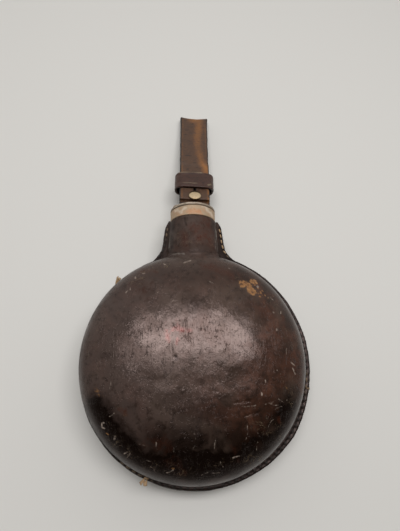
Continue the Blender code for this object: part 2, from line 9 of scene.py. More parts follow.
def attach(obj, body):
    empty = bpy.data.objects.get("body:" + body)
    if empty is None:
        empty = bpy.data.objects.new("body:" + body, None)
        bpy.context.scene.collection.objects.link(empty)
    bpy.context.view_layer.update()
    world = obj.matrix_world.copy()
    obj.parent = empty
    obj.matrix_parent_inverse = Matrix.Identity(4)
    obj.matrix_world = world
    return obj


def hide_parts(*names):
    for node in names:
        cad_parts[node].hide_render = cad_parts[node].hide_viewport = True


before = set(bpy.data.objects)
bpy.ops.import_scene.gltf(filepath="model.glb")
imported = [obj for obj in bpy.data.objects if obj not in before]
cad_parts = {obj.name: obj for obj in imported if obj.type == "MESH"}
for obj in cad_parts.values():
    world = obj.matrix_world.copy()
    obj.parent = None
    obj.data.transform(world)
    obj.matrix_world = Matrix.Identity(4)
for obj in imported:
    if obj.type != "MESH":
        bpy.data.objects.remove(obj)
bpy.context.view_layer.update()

# The flask is a tinned sheet-metal bottle, pressed in two halves that lap at the seam and are
# soldered. The leather hides all of it but the bore of the neck, so the two halves keep their CAD
# shapes and only get the finish of the metal.

MM = 0.001


def linear(hex_colour):
    """Linear values of an sRGB hex colour, as a colour socket takes them."""
    values = []
    for start in (0, 2, 4):
        value = int(hex_colour[start:start + 2], 16) / 255
        values.append(value / 12.92 if value <= 0.04045 else ((value + 0.055) / 1.055) ** 2.4)
    return (*values, 1.0)


def connect(finish, node, inputs):
    """Set or link a node's inputs, which are given by name or in the order of its sockets."""
    for socket, value in inputs.items() if isinstance(inputs, dict) else enumerate(inputs):
        if isinstance(value, bpy.types.NodeSocket):
            finish.node_tree.links.new(value, node.inputs[socket])
        else:
            node.inputs[socket].default_value = linear(value) if isinstance(value, str) else value


def add_node(finish, kind, inputs, output=0, **settings):
    """Add a node to a finish with its settings and links, and return one of its outputs."""
    node = finish.node_tree.nodes.new("ShaderNode" + kind)
    for name, value in settings.items():
        setattr(node, name, value)
    connect(finish, node, inputs)
    return node.outputs[output]


def new_finish(name):
    """New material, and the Object coordinates that its patterns lie on."""
    finish = bpy.data.materials.new(name)
    finish.use_nodes = True
    return finish, add_node(finish, "TexCoord", (), "Object")


def layered(finish, colour, *layers):
    """Lay tints over a colour, each where a pattern goes from one value to another.

    A layer is (pattern, value without the tint, value with most of it, how much that is, tint).
    The numbers are the sockets of a mix of two colours: share, under, over and result.
    """
    for pattern, none, full, most, tint in layers:
        share = add_node(finish, "MapRange", (pattern, none, full, 0.0, most))
        colour = add_node(finish, "Mix", {0: share, 6: colour, 7: tint}, 2, data_type="RGBA")
    return colour


def surface(finish, colour, rough, relief=None, depth=0.0, strength=0.6, **more):
    """Close a finish: its colour, its roughness and its relief, which is as deep as depth.

    The roughness is a number, an output, or a pattern with the values between which it goes from
    one roughness to another.
    """
    shader = {"Base Color": colour, **more}
    if isinstance(rough, tuple):
        rough = add_node(finish, "MapRange", rough)
    shader["Roughness"] = rough
    if relief is not None:
        bump = {"Height": relief, "Strength": strength, "Distance": depth}
        shader["Normal"] = add_node(finish, "Bump", bump)
    connect(finish, finish.node_tree.nodes["Principled BSDF"], shader)


def give(piece, finish):
    """Let a piece show one finish all over."""
    piece.data.materials.clear()
    piece.data.materials.append(finish)


# Hot-dipped tin on sheet metal: soft grey-white metal, dulled in patches and spotted with rust
tin, place = new_finish("tinned_sheet_metal")
bloom, specks = (
    add_node(tin, "TexNoise", {"Vector": place, "Scale": 1 / (size * MM), "Detail": detail})
    for size, detail in ((9, 5.0), (1.5, 3.0))
)
rusty = layered(tin, "b9b3a8", (bloom, 0, 1, 1, "8c8478"), (specks, 0.58, 0.72, 1, "6b5138"))
surface(tin, rusty, (bloom, 0.3, 0.7, 0.34, 0.52), Metallic=1.0)
for shell in ("flask_front_shell", "flask_back_shell"):
    give(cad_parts[shell], tin)


# The neck is a cone of the same sheet, drawn in above the leather to carry a turned collar whose
# rolled thread takes the cap. Both are soldered on, and they show when the cap is lifted off.

SEAM_HEIGHT = 0.028
GAP = 0.0003
LEATHER = 0.0022
NECK_TOP = 0.1115
NECK_ROOT = 0.068
NECK_TOP_RADIUS = 0.019
NECK_ROOT_RADIUS = 0.0222
TUBE_WALL = 0.0009
MOUTH_RADIUS = 0.0146
MOUTH_TOP = 0.1195
SHOULDER = 0.0009
COLLAR_RADIUS = 0.0159
THREAD_START = 0.1134
THREAD_PITCH = 0.0042
THREAD_TURNS = 1.095
THREAD_ROUND = 0.0009
THREAD_SUNK = 0.8
RUN_OUT_STEPS = 6
TURNED_STEPS = 96
NECK_AXIS = Vector((0.0, 1.0, 0.0))
MERGED_WITHIN = 0.002 * MM
SLIVER = 0.01 * MM


def alone(piece):
    """Make a piece the only one that operators act on."""
    bpy.ops.object.select_all(action="DESELECT")
    piece.select_set(True)
    bpy.context.view_layer.objects.active = piece


def drawn(name, points, closed=False, **settings):
    """Mesh of a line drawn through points, as thick, wide or filled as the settings say."""
    curve = bpy.data.curves.new(name, "CURVE")
    curve.dimensions = "3D"
    for setting, value in settings.items():
        setattr(curve, setting, value)
    line = curve.splines.new("POLY")
    line.points.add(len(points) - 1)
    for point, spot in zip(line.points, points):
        point.co = (*spot, 1.0)
    line.use_cyclic_u = closed
    piece = bpy.data.objects.new(name, curve)
    bpy.context.scene.collection.objects.link(piece)
    alone(piece)
    bpy.ops.object.convert(target="MESH")
    return bpy.context.object


def edit(piece, *steps):
    """Carry out operators of edit mode on all of a piece, each given with its settings."""
    alone(piece)
    bpy.ops.object.mode_set(mode="EDIT")
    bpy.ops.mesh.select_all(action="SELECT")
    for step, settings in steps:
        step(**settings)
    bpy.ops.object.mode_set(mode="OBJECT")
    return piece


def tidy(piece):
    """Merge what lies together in a mesh, and turn its faces outwards."""
    outwards = (bpy.ops.mesh.normals_make_consistent, {"inside": False})
    return edit(piece, (bpy.ops.mesh.remove_doubles, {"threshold": MERGED_WITHIN}), outwards)


def turned(name, profile, steps=TURNED_STEPS, axis=NECK_AXIS):
    """Spin a profile of (radius, height) points round an axis through the seam's middle."""
    middle = Vector((0.0, 0.0, SEAM_HEIGHT))
    line = [middle + Vector((radius, 0.0, 0.0)) + axis * height for radius, height in profile]
    way_round = {"steps": steps, "angle": 2 * math.pi, "center": middle, "axis": axis}
    piece = drawn(name, line, closed=profile[0][0] > 0.0)
    return tidy(edit(piece, (bpy.ops.mesh.spin, way_round)))


def modify(piece, kind, **settings):
    """Finish a piece with a modifier, and apply it."""
    step = piece.modifiers.new(kind.lower(), kind)
    for name, value in settings.items():
        setattr(step, name, value)
    alone(piece)
    bpy.ops.object.modifier_apply(modifier=step.name)


def combine(piece, tool, operation):
    """Join another shape on to a piece, or cut it away."""
    modify(piece, "BOOLEAN", object=tool, operation=operation, solver="EXACT")
    bpy.data.objects.remove(tool)


def clean_cuts(piece):
    """Close up the slivers that cutting leaves along its edges."""
    corners = {"quad_method": "BEAUTY", "ngon_method": "BEAUTY"}
    halve = (bpy.ops.mesh.quads_convert_to_tris, corners)
    edit(piece, halve, (bpy.ops.mesh.dissolve_degenerate, {"threshold": SLIVER}), halve)


def round_edges(piece, width, segments=2):
    """Take the sharpness off a piece's edges."""
    modify(piece, "BEVEL", width=width, segments=segments, limit_method="ANGLE")


def smooth(piece, angle=40.0):
    """Shade a piece smooth but for its sharp edges."""
    alone(piece)
    bpy.ops.object.shade_smooth_by_angle(angle=math.radians(angle))


def hand_in(piece, finish, body, node):
    """Give a piece its finish, let it ride on its body and let it stand for its CAD node."""
    give(piece, finish)
    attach(piece, body)
    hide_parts(node)


def neck_radius(height):
    """Outer radius of the leather neck at a height up the canteen."""
    share = (height - NECK_ROOT) / (NECK_TOP - NECK_ROOT)
    return NECK_ROOT_RADIUS + (NECK_TOP_RADIUS - NECK_ROOT_RADIUS) * share


def thread_ridge(name, radius, first_turn):
    """Rolled ridge of the thread, which runs out into the metal at both ends."""
    points = []
    count = round(THREAD_TURNS * TURNED_STEPS)
    sunk = math.copysign(THREAD_SUNK, COLLAR_RADIUS + GAP - radius) * THREAD_ROUND
    for step in range(count + 1):
        angle = 2 * math.pi * (first_turn + (step + 0.5) / TURNED_STEPS)
        reach = radius - sunk * max(0.0, 1.0 - min(step, count - step) / RUN_OUT_STEPS)
        height = THREAD_START + THREAD_PITCH * step / TURNED_STEPS
        points.append((reach * math.cos(angle), height, SEAM_HEIGHT - reach * math.sin(angle)))
    round_wire = {"bevel_depth": THREAD_ROUND, "bevel_resolution": 3, "use_fill_caps": True}
    return tidy(drawn(name, points, **round_wire))


bpy.ops.object.select_all(action="DESELECT")
tube_line = [(MOUTH_RADIUS, MOUTH_TOP), (MOUTH_RADIUS, NECK_TOP + SHOULDER)]
tube_line += [(neck_radius(height) - LEATHER - GAP, height) for height in (NECK_TOP, NECK_ROOT)]
tube_line += [(radius - TUBE_WALL, height) for radius, height in tube_line[::-1]]
neck_tube = turned("tinned_neck_tube", tube_line)
round_edges(neck_tube, 0.3 * MM, 3)
smooth(neck_tube)
hand_in(neck_tube, tin, "canteen", "neck_tube")

collar_foot = NECK_TOP + SHOULDER + GAP
collar_line = [(COLLAR_RADIUS, MOUTH_TOP), (COLLAR_RADIUS, collar_foot)]
collar_line += [(MOUTH_RADIUS + GAP, collar_foot), (MOUTH_RADIUS + GAP, MOUTH_TOP)]
neck_collar = turned("threaded_collar", collar_line)
combine(neck_collar, thread_ridge("collar_ridge", COLLAR_RADIUS, 0.0), "UNION")
round_edges(neck_collar, 0.15 * MM)
smooth(neck_collar)
hand_in(neck_collar, tin, "canteen", "neck_collar")


# The cover is two halves of oak-bark leather, pressed wet over the flask, dyed, waxed and handled
# nearly black. Each half carries its share of the neck and a flange, and the flanges meet in a
# seam that is trimmed by hand.

WALL_RADIUS = 0.0812
WALL_STRAIGHT = 0.006
FRONT_RISE = 0.035
BACK_FLAT = 0.048
PLAN_SQUARENESS = 2.7
RISE_SQUARENESS = 2.6
DOME_RINGS = 56
DOME_STEPS = 180
BODY_AXIS = Vector((0.0, 0.0, 1.0))
FLANGE_RADIUS = 0.0861
FLANGE_SHIFT = 0.002
FLANGE_FILLET = 0.004
FLANGE_FLARE = 0.0014
FLARE_TURN = math.radians(126.0)
FLARE_SPREAD = math.radians(22.0)
SIDE_STEPS = 25
ARC_STEPS = 241
NECK_SIDES_BELOW_TOP = ((1.5, 2.0), (-3.0, 4.2), (-10.5, 4.7))
NECK_SIDES_ABOVE_WALL = ((12.8, 4.9), (6.8, 5.7), (2.8, 7.8))
NECK_SIDES_SHIFT = 0.0005
CAP_WAY = 0.0188
CAP_TOP = 0.1229
VOXEL = 0.8 * MM
FRONT_TRIM = 0.0006
EDGE_WANDER = 0.005
WANDER_SEED = 7
FULL_BEND = 0.12 * VOXEL
HOLLOW_RINGS = 5
HOLLOW_FADE = 0.9
HOLLOW_GAIN = 1.5
TUCK_OUT = 0.9 * MM
TUCK_WIDTH = 0.7 * MM
TUCK_DEPTH = 0.7 * MM
TUCK_ENDS = (0.070, 0.076)
SHOULDER_LEAN = 1.0 * MM
LEVELLED = 0.4 * MM
LOWEST = 0.05 * MM
CREASE_DEPTH = 0.6 * MM
DENT_DEPTH = 0.35 * MM


def body_outline(rise, flat, inset):
    """Outline of half the body, from its pole to the seam and a little past it."""
    widest = WALL_RADIUS - inset
    crown = rise - inset
    points = [(0.0, crown)] if flat else []
    for ring in range(DOME_RINGS + 1):
        turn = 0.5 * math.pi * ring / DOME_RINGS
        radius = flat + (widest - flat) * math.sin(turn) ** (2 / PLAN_SQUARENESS)
        height = WALL_STRAIGHT + (crown - WALL_STRAIGHT) * math.cos(turn) ** (2 / RISE_SQUARENESS)
        points.append((radius, height))
    return points + [(widest, -2 * LEATHER), (0.0, -2 * LEATHER)]


def neck_core(name, inset, low, high):
    """Cone along the neck, drawn in from the leather's outer face."""
    sides = [(neck_radius(height) - inset, height) for height in (high, low)]
    return turned(name, [(0.0, high), *sides, (0.0, low)])


def seam_line(inset, shift, top):
    """Line round the seam from the neck's right top to its left top, in from the edge by inset."""
    sketch = [(NECK_TOP + rise * MM, width * MM) for rise, width in NECK_SIDES_BELOW_TOP]
    sketch += [(WALL_RADIUS + rise * MM, width * MM) for rise, width in NECK_SIDES_ABOVE_WALL]
    heights, widths = zip(*sketch[::-1])
    sides = []
    for height in np.linspace(top, heights[0], SIDE_STEPS):
        width = neck_radius(height) + np.interp(height, heights, widths) - inset
        sides.append((float(width), float(height)))
    radius = FLANGE_RADIUS - inset
    foot = sides[-1][0] + FLANGE_FILLET
    first = math.asin((foot + NECK_SIDES_SHIFT - shift) / radius)
    last = 2 * math.pi - math.asin((foot - NECK_SIDES_SHIFT + shift) / radius)
    arc = []
    for turn in np.linspace(first, last, ARC_STEPS):
        reach = radius + FLANGE_FLARE * math.exp(-((turn - FLARE_TURN) / FLARE_SPREAD) ** 2)
        arc.append((shift + reach * math.sin(turn), reach * math.cos(turn)))
    right = [(NECK_SIDES_SHIFT + width, height) for width, height in sides]
    left = [(NECK_SIDES_SHIFT - width, height) for width, height in sides]
    return right + arc + left[::-1]


def trim_flat(piece, height, side):
    """Cut a piece off flat at a height, and keep the part on one side."""
    plane = {"plane_co": (0.0, 0.0, height), "plane_no": (0.0, 0.0, side)}
    edit(piece, (bpy.ops.mesh.bisect, {**plane, "use_fill": True, "clear_inner": True}))


def vertex_rows(piece, what="co"):
    """Places of a mesh's vertices, or their normals, one row for each."""
    values = np.empty(len(piece.data.vertices) * 3)
    piece.data.vertices.foreach_get(what, values)
    return values.reshape(-1, 3)


def move_to(piece, places):
    """Move a mesh's vertices to new places."""
    piece.data.vertices.foreach_set("co", places.ravel())
    piece.data.update()


def off_axis(places):
    """How far each place is from the axis of the flask, as seen from the front."""
    return np.hypot(places[:, 0], places[:, 1])


def hollows(piece):
    """How much of an inner corner each vertex lies in, from 0 to 1."""
    places, normals = vertex_rows(piece), vertex_rows(piece, "normal")
    ends = np.empty(len(piece.data.edges) * 2, dtype=int)
    piece.data.edges.foreach_get("vertices", ends)
    one, two = ends.reshape(-1, 2).T
    bend, count = np.zeros(len(places)), np.zeros(len(places))
    for here, there in ((one, two), (two, one)):
        np.add.at(bend, here, np.einsum("ij,ij->i", places[there] - places[here], normals[here]))
        np.add.at(count, here, 1)
    share = np.clip(bend / count / FULL_BEND, 0.0, 1.0)
    for ring in range(HOLLOW_RINGS):
        total = np.zeros(len(places))
        for here, there in ((one, two), (two, one)):
            np.add.at(total, here, share[there])
        share = np.maximum(share, HOLLOW_FADE * total / count)
    return np.clip(share * HOLLOW_GAIN, 0.0, 1.0)


def soften_hollows(piece, rounds):
    """Round out the inner corners of a piece, and leave its edges."""
    group = piece.vertex_groups.new(name="hollows")
    for index, share in enumerate(hollows(piece)):
        if share > 0.02:
            group.add([index], float(share), "REPLACE")
    modify(piece, "SMOOTH", factor=0.5, iterations=rounds, vertex_group="hollows")
    piece.vertex_groups.clear()


def swell(piece, name, size, height):
    """Raise and sink a surface in soft clouds of a size and a height in metres."""
    texture = bpy.data.textures.new(name, "CLOUDS")
    texture.noise_scale = size
    texture.noise_depth = 2
    modify(piece, "DISPLACE", texture=texture, strength=height, mid_level=0.5)


def near(places, marks, spread):
    """How near each place is to the nearest of some marks, from 0 to 1.

    A mark is (x, y, x, y, half width, strength) in millimetres, from end to end as seen from the
    front. The places are shifted by spread first, so that no mark has a clean edge.
    """
    flat = places[:, :2] / MM + spread
    share = np.zeros(len(flat))
    for mark in marks:
        start, end = np.array(mark[0:2]), np.array(mark[2:4])
        line = end - start
        along = np.clip((flat - start) @ line / max(line @ line, 0.01), 0.0, 1.0)
        far = np.linalg.norm(flat - start - along[:, None] * line, axis=1)
        share = np.maximum(share, mark[5] * np.exp(-(far / mark[4]) ** 2))
    return share


def wander(places, size, reach):
    """Sideways shift at each place, in millimetres, in swirls of a size in metres."""
    noise.seed_set(WANDER_SEED)
    shifts = [noise.noise_vector(Vector(spot) / size)[:2] for spot in places]
    return np.array(shifts) * reach


def paint(piece, name, shares):
    """Keep one share for each vertex under a name that the finish reads."""
    layer = piece.data.attributes.new(name, "FLOAT", "POINT")
    layer.data.foreach_set("value", np.asarray(shares, dtype=np.float32))


def ease(value, start, end):
    """Smooth step from 0 at start to 1 at end."""
    return 0.5 - 0.5 * np.cos(np.pi * np.clip((value - start) / (end - start), 0.0, 1.0))


def tuck_in(half, side):
    """Work the leather into the corner where the wall meets the flange."""
    places = vertex_rows(half)
    off_corner = off_axis(places) - WALL_RADIUS - TUCK_OUT
    above = (places[:, 2] - SEAM_HEIGHT) * side
    share = np.exp(-(off_corner / TUCK_WIDTH) ** 2) * (1.0 - ease(places[:, 1], *TUCK_ENDS))
    share *= (above > 0.5 * LEATHER) & (above < 3 * LEATHER)
    places[:, 2] -= side * TUCK_DEPTH * share
    move_to(half, places)


def moulded_half(name, rise, flat, side):
    """Half of the cover: body, neck and flange in one, with soft inner corners."""
    half = turned(name, body_outline(rise, flat, 0.0), DOME_STEPS, BODY_AXIS * side)
    combine(half, neck_core("neck", 0.0, NECK_ROOT, NECK_TOP), "UNION")
    edge = []
    inset = FRONT_TRIM if side > 0 else 0.0
    top = NECK_TOP + NECK_SIDES_BELOW_TOP[0][0] * MM
    for across, along in seam_line(inset, FLANGE_SHIFT, top):
        trim = 1.0 + EDGE_WANDER * noise.noise(Vector((across, along, 0.1 * side)) / (11 * MM))
        edge.append((across * trim, along * trim, 0.0))
    flange = drawn(
        "flange", edge, closed=True, dimensions="2D", fill_mode="BOTH", extrude=LEATHER + GAP / 2
    )
    bpy.ops.transform.translate(value=(0.0, 0.0, SEAM_HEIGHT))
    bpy.ops.object.transform_apply(location=True, rotation=False, scale=False)
    combine(half, tidy(flange), "UNION")
    trim_flat(half, SEAM_HEIGHT + side * GAP / 2, side)
    modify(half, "REMESH", mode="VOXEL", voxel_size=VOXEL, use_smooth_shade=True)
    modify(half, "SMOOTH", factor=0.5, iterations=3)
    soften_hollows(half, 16)
    tuck_in(half, side)
    swell(half, "moulding", 26 * MM, 0.5 * MM)
    swell(half, "puckers", 7 * MM, 0.13 * MM)
    return half


def lean_out(half):
    """Let the front's left shoulder stand out over the seam, as its mould pressed it."""
    places = vertex_rows(half)
    rise = places[:, 2] - SEAM_HEIGHT
    shoulder = ease(rise, 3 * MM, 8 * MM) * (1.0 - ease(rise, 18 * MM, 33 * MM))
    places[:, 0] -= SHOULDER_LEAN * shoulder * ease(-places[:, 0], 10 * MM, 70 * MM)
    move_to(half, places)


def press(piece, marks, depth):
    """Press marks into the outside of a piece to a depth in metres."""
    places = vertex_rows(piece)
    share = near(places, marks, wander(places, 7 * MM, 0.8))
    move_to(piece, places - vertex_rows(piece, "normal") * (share * depth)[:, None])


def hollow_out(half, rise, flat, side):
    """Level the meeting face of a half, and cut out the flask's space and the cap's way."""
    places = vertex_rows(half)
    meeting = SEAM_HEIGHT + side * GAP / 2
    rise_above = (places[:, 2] - meeting) * side
    places[:, 2] = np.where(rise_above < LEVELLED, meeting, np.maximum(places[:, 2], LOWEST))
    move_to(half, places)
    way_line = [(0.0, CAP_TOP), (CAP_WAY, CAP_TOP), (CAP_WAY, NECK_TOP), (0.0, NECK_TOP)]
    for cut in (
        turned("space", body_outline(rise, flat, LEATHER), 120, BODY_AXIS * side),
        neck_core("bore", LEATHER, NECK_ROOT - LEATHER, NECK_TOP + LEATHER),
        turned("way", way_line),
    ):
        combine(half, cut, "DIFFERENCE")
    clean_cuts(half)


# Vegetable-tanned leather under black dye and wax: dark brown, nearly black towards the bottom
# and on the flange, with a grey bloom on the wax, greyer towards the left, a red flush where the
# dye is thin, raw tan in the scuffs, pale hairlines where the wax is worn, open pores and fine
# creases all over. Painted shade darkens the rim, a pit, the creases and sides of the neck, the
# line under the cap and the awl holes; painted highlights run down the neck's sides and its root
hide, place = new_finish("waxed_oak_bark_leather")
patterns, lines, shares = {}, {}, {}
for name, size, detail, rough, warp in (
    ("broad", 34, 3.0, 0.5, 0.4), ("flush", 15, 6.0, 0.62, 0.6), ("mottle", 4.5, 8.0, 0.68, 0.0),
    ("pores", 1.9, 4.0, 0.7, 0.3), ("hairs", 7, 4.0, 0.6, 1.2),
):
    cloud = {"Scale": 1 / (size * MM), "Detail": detail, "Roughness": rough, "Distortion": warp}
    patterns[name] = add_node(hide, "TexNoise", {"Vector": place, **cloud})
for name, turn, size in (("creases_up", 58.0, 2.6), ("creases_down", -34.0, 3.4)):
    leaning = add_node(hide, "Mapping", {
        "Vector": place, "Rotation": (0.0, 0.0, math.radians(turn)), "Scale": (1.0, 0.14, 1.0),
    })
    lined = {"Vector": leaning, "Scale": 1 / (size * MM), "Detail": 2.0}
    patterns[name] = add_node(hide, "TexNoise", lined)
for name, width in (("hairs", 0.012), ("creases_up", 0.013), ("creases_down", 0.013)):
    off = add_node(hide, "Math", (patterns[name], 0.5), operation="SUBTRACT")
    far = add_node(hide, "Math", (off,), operation="ABSOLUTE")
    lines[name] = add_node(hide, "MapRange", (far, 0.2 * width, width, 1.0, 0.0))
axes = add_node(hide, "SeparateXYZ", (place,)).node.outputs
for name, value, low, high, first, last in (
    ("pores", patterns["pores"], 0.41, 0.32, 0.0, 0.9),
    ("creased", patterns["mottle"], 0.42, 0.58, 0.0, 1.0),
    ("neck", axes["Y"], 0.070, 0.082, 0.0, 0.20),
    ("sheen", patterns["flush"], 0.34, 0.66, 0.10, 0.30),
    ("patchy", patterns["flush"], 0.44, 0.58, 0.25, 1.0),
):
    shares[name] = add_node(hide, "MapRange", (value, low, high, first, last))
both = add_node(hide, "Math", (lines["creases_up"], lines["creases_down"]), operation="MAXIMUM")
creases = add_node(hide, "Math", (both, shares["creased"]), operation="MULTIPLY")
pitted = add_node(hide, "Math", (shares["pores"], creases), operation="MAXIMUM")
pitted = add_node(hide, "Math", (pitted, shares["patchy"]), operation="MULTIPLY")
colour = layered(
    hide, "261a14", (patterns["flush"], 0.40, 0.64, 1, "482c20"),
    (patterns["broad"], 0.44, 0.62, 1, "45372f"), (axes["X"], 0.030, -0.050, 0.7, "493e3a"),
    (patterns["mottle"], 0.50, 0.74, 1, "1c120c"), (pitted, 0, 1, 1, "140c09"),
)
raw_tan = layered(hide, "6c4628", (patterns["pores"], 0.35, 0.65, 1, "966f47"))
# Painted marks, each with its edge broken up by a pattern. The black marks also hold painted
# shade, the hole marks are painted shade in the awl holes, and the grey marks by the neck are
# painted highlights
for name, pattern, roughening, low, high, tint in (
    ("black", "flush", 2.5, 0.1, 1.1, "0a0503"), ("red", "mottle", 4.0, 0.2, 1.3, "3f1f13"),
    ("pink", "mottle", 9.0, 0.2, 1.6, "8c4643"), ("worn", "mottle", 5.0, 0.35, 1.0, "675846"),
    ("scratch", "pores", 3.0, 0.30, 1.0, "93857a"), ("painted_highlight", "pores", 2.0, 0.2, 1.3, "8b867f"),
    ("edge", "pores", 4.0, 0.3, 1.4, "17110d"), ("bare", "pores", 4.0, 0.35, 0.8, raw_tan),
    ("hole", "pores", 0.5, 0.2, 0.8, "050302"),
):
    painted = add_node(hide, "Attribute", (), "Fac", attribute_name=name)
    ragged = (patterns[pattern], roughening, 1.0 - roughening / 2)
    ragged = add_node(hide, "Math", ragged, operation="MULTIPLY_ADD")
    broken = add_node(hide, "Math", (painted, ragged), operation="MULTIPLY")
    if name == "worn":
        share = add_node(hide, "MapRange", (broken, low, high))
        broken = add_node(hide, "Math", (share, lines["hairs"]), operation="MULTIPLY")
        low, high = 0, 1
    colour = layered(hide, colour, (broken, low, high, 1, tint))
relief = (patterns["mottle"], 1.6, patterns["pores"])
relief = add_node(hide, "Math", relief, operation="MULTIPLY_ADD")
relief = add_node(hide, "Math", (pitted, -1.5, relief), operation="MULTIPLY_ADD")
dry = add_node(hide, "Attribute", (), "Fac", attribute_name="dry")
sheen = add_node(hide, "Math", (shares["sheen"], shares["neck"]), operation="ADD")
for duller, how_much in ((dry, 0.4), (pitted, 0.22)):
    sheen = add_node(hide, "Math", (duller, how_much, sheen), operation="MULTIPLY_ADD")
surface(hide, colour, sheen, relief, 0.09 * MM, IOR=1.46, **{"Specular Tint": "ffe2da"})

# Marks of the front, as (x, y, x, y, half width, strength) in millimetres from end to end
FRONT_BARE = (
    (32.5, 54, 33.5, 51, 1.7, 1.0), (34, 53.2, 38.5, 51.6, 2.5, 1.3), (38, 51, 39.5, 49, 2.2, 1.2),
    (39.2, 48.6, 40.8, 46.2, 2.4, 1.2), (41, 55.6, 43.2, 54.6, 2.2, 1.2),
    (44.8, 49.4, 45.4, 48.8, 0.7, 1.1), (46.4, 47, 47, 46.4, 0.7, 1.1),
    (44.4, 46.6, 44.8, 46, 0.7, 1.0), (48.6, 48, 49, 47.4, 0.6, 1.0),
    (48, 44.6, 48.6, 44, 0.7, 1.0), (50.4, 45.4, 50.8, 44.8, 0.6, 0.9),
    (46, 43.6, 46.4, 43, 0.6, 0.9), (52, 43, 52.4, 42.4, 0.5, 0.8),
    (-67.5, -19, -64, -22, 3.4, 0.40), (58, -17, 62, -24, 3.5, 0.3),
    (-59, -46.5, -57.5, -47.5, 0.7, 0.7), (-18, -67, -15, -68, 1.4, 0.4),
)
FRONT_SPECKS = (
    (45.2, 51.8, 45.4, 51.2, 0.8, 1.5), (65, -3, 68, -5, 0.5, 0.9), (66, -7, 67, -8.5, 0.6, 0.9),
    (67, -9, 68, -11, 0.6, 0.8), (55, 32, 55.4, 31.6, 0.5, 1.2), (54, -8, 54.4, -8.6, 0.4, 1.0),
    (-9, 69, -4, 71.5, 0.8, 0.7), (-23.5, 69, -22.5, 68, 0.6, 0.8), (-39, 61, -37, 61, 0.5, 0.8),
    (-44, 59, -44, 57, 0.5, 0.8), (-47, 50, -47, 48, 0.5, 0.8), (56, 20, 56, 18.8, 0.5, 1.2),
    (61.5, 33, 61, 31.5, 0.45, 1.1), (42, -23, 42.2, -24, 0.55, 1.3), (45, -15, 45, -16, 0.5, 1.1),
    (-62, -40, -60.5, -39.5, 0.5, 1.0), (-62, -40, -62, -42.5, 0.5, 1.0),
    (-62, -42.5, -60, -43, 0.5, 1.0),
)
# Scratches as (x, y, direction in degrees, length), in millimetres
FRONT_SCRATCHES = (
    (-54, -50, 60, 4), (-53, -50, 75, 4), (31, -40, -80, 8), (30, -38, 15, 9), (45, -46, 55, 9),
    (-49, -60, 55, 5), (-46, -62, 40, 5), (22, -62, 35, 6), (8, -71, 15, 6), (-30, -66, -45, 6),
    (60, -28, 40, 5), (54, -27, -50, 6), (38, -58, 70, 5), (-20, -70, 20, 5), (14, -64, -70, 5),
    (28, -31, 5, 10), (-58, -36, 20, 5), (-38, -52, -30, 6), (-33, -62, -20, 4), (-6, -60, 85, 8),
    (50, -34, 30, 7), (48, -30, -20, 6), (62, 2, 100, 5), (-30, 44, 25, 4), (12, 52, 160, 4),
    (-52, 34, 50, 3), (24, 66, -25, 4), (54, 44, -50, 4), (-18, 38, 40, 3), (44, 8, 80, 5),
    (-2, -50, 100, 5), (10, -56, 80, 6), (30, -52, 50, 7), (2, -72, 30, 5), (-16, -58, 70, 4),
    (40, -50, 110, 6), (-26, -56, 120, 5), (34, -66, 60, 4), (-42, -46, 10, 5), (44, -30, 20, 6),
    (56, -12, 70, 6), (-58, -20, 80, 6), (-36, 64, 30, 3), (-14, 66, 10, 3), (-50, 46, 60, 3),
)
FRONT_RED = (
    (62.5, 28, 62.5, 20, 3.0, 0.7), (47, 6, 51, -2, 3.0, 0.5), (-49, -31, -45, -33, 2.6, 0.9),
    (52, -38, 54, -43, 2.2, 0.8), (20, -55, 26, -63, 4.0, 0.35), (-20, -62, -10, -66, 5.0, 0.3),
    (2, 100, 9, 90, 6.5, 1.0), (9, 108, 11, 86, 6.0, 0.8), (-10, 96, -6, 86, 5.0, 0.6),
    (36, 40, 50, 30, 6.0, 0.3), (-34, -50, -22, -54, 6.0, 0.4), (10, 66, 24, 62, 6.0, 0.6),
    (-40, 65, -32, 60, 5.0, 0.55), (-10, 50, 2, 46, 5.0, 0.3), (-44, 54, -34, 44, 7.0, 0.4),
)
FRONT_PINK = (
    (-16.5, 18.6, -3.5, 18.2, 1.7, 0.8), (-13.3, 25.3, -13.3, 9.0, 1.6, 0.6),
    (-20.4, 22, -20, 12, 2.4, 0.65),
)
# Dark marks: darker towards the bottom, dark smudges, a dark ring round the scuff, and painted
# shade in a pit, in the neck's creases, down the neck's sides and in the line under the cap
FRONT_DARK_AND_SHADE = (
    (-40, -67, 44, -66, 14.0, 1.6), (-67, -33, -44, -62, 10.5, 1.6), (64, -33, 46, -62, 11.5, 1.5),
    (-50, -50, -34, -62, 9.0, 1.3), (36, -53, 50, -50, 8.0, 1.1),
    (-15.0, 1.2, -15.2, -0.8, 1.2, 1.6), (-26, -53, 32, -55, 13.0, 0.95),
    (-43, 54, -33, 45, 6.0, 0.5), (27, 34, 35, 25, 3.0, 0.5), (31, 43, 37, 37, 5.0, 0.45),
    (34, 58.5, 38, 57.5, 2.2, 0.7), (29, 48, 33, 46, 3.0, 0.4), (-10, 80.6, 12, 80.6, 1.6, 0.7),
    (-21, 110, -21.5, 86, 1.6, 0.9), (-24, -25, 4, -28, 7.0, 0.42), (-38, 62, 34, 63, 13.0, 0.42),
    (-7.5, 108, -7.2, 103, 0.9, 0.9), (-19, 111.5, 19, 111.5, 1.0, 0.8),
    (15, 108, 16, 86, 3.0, 0.8), (-16.5, 108, -17.5, 86, 2.8, 0.8), (-13, 110, -3, 107, 3.0, 0.4),
    (-10, -34, 14, -36, 8.0, 0.5), (-58, 44, -50, 56, 8.0, 0.35), (-30, -74, 26, -74, 5.0, 1.0),
)
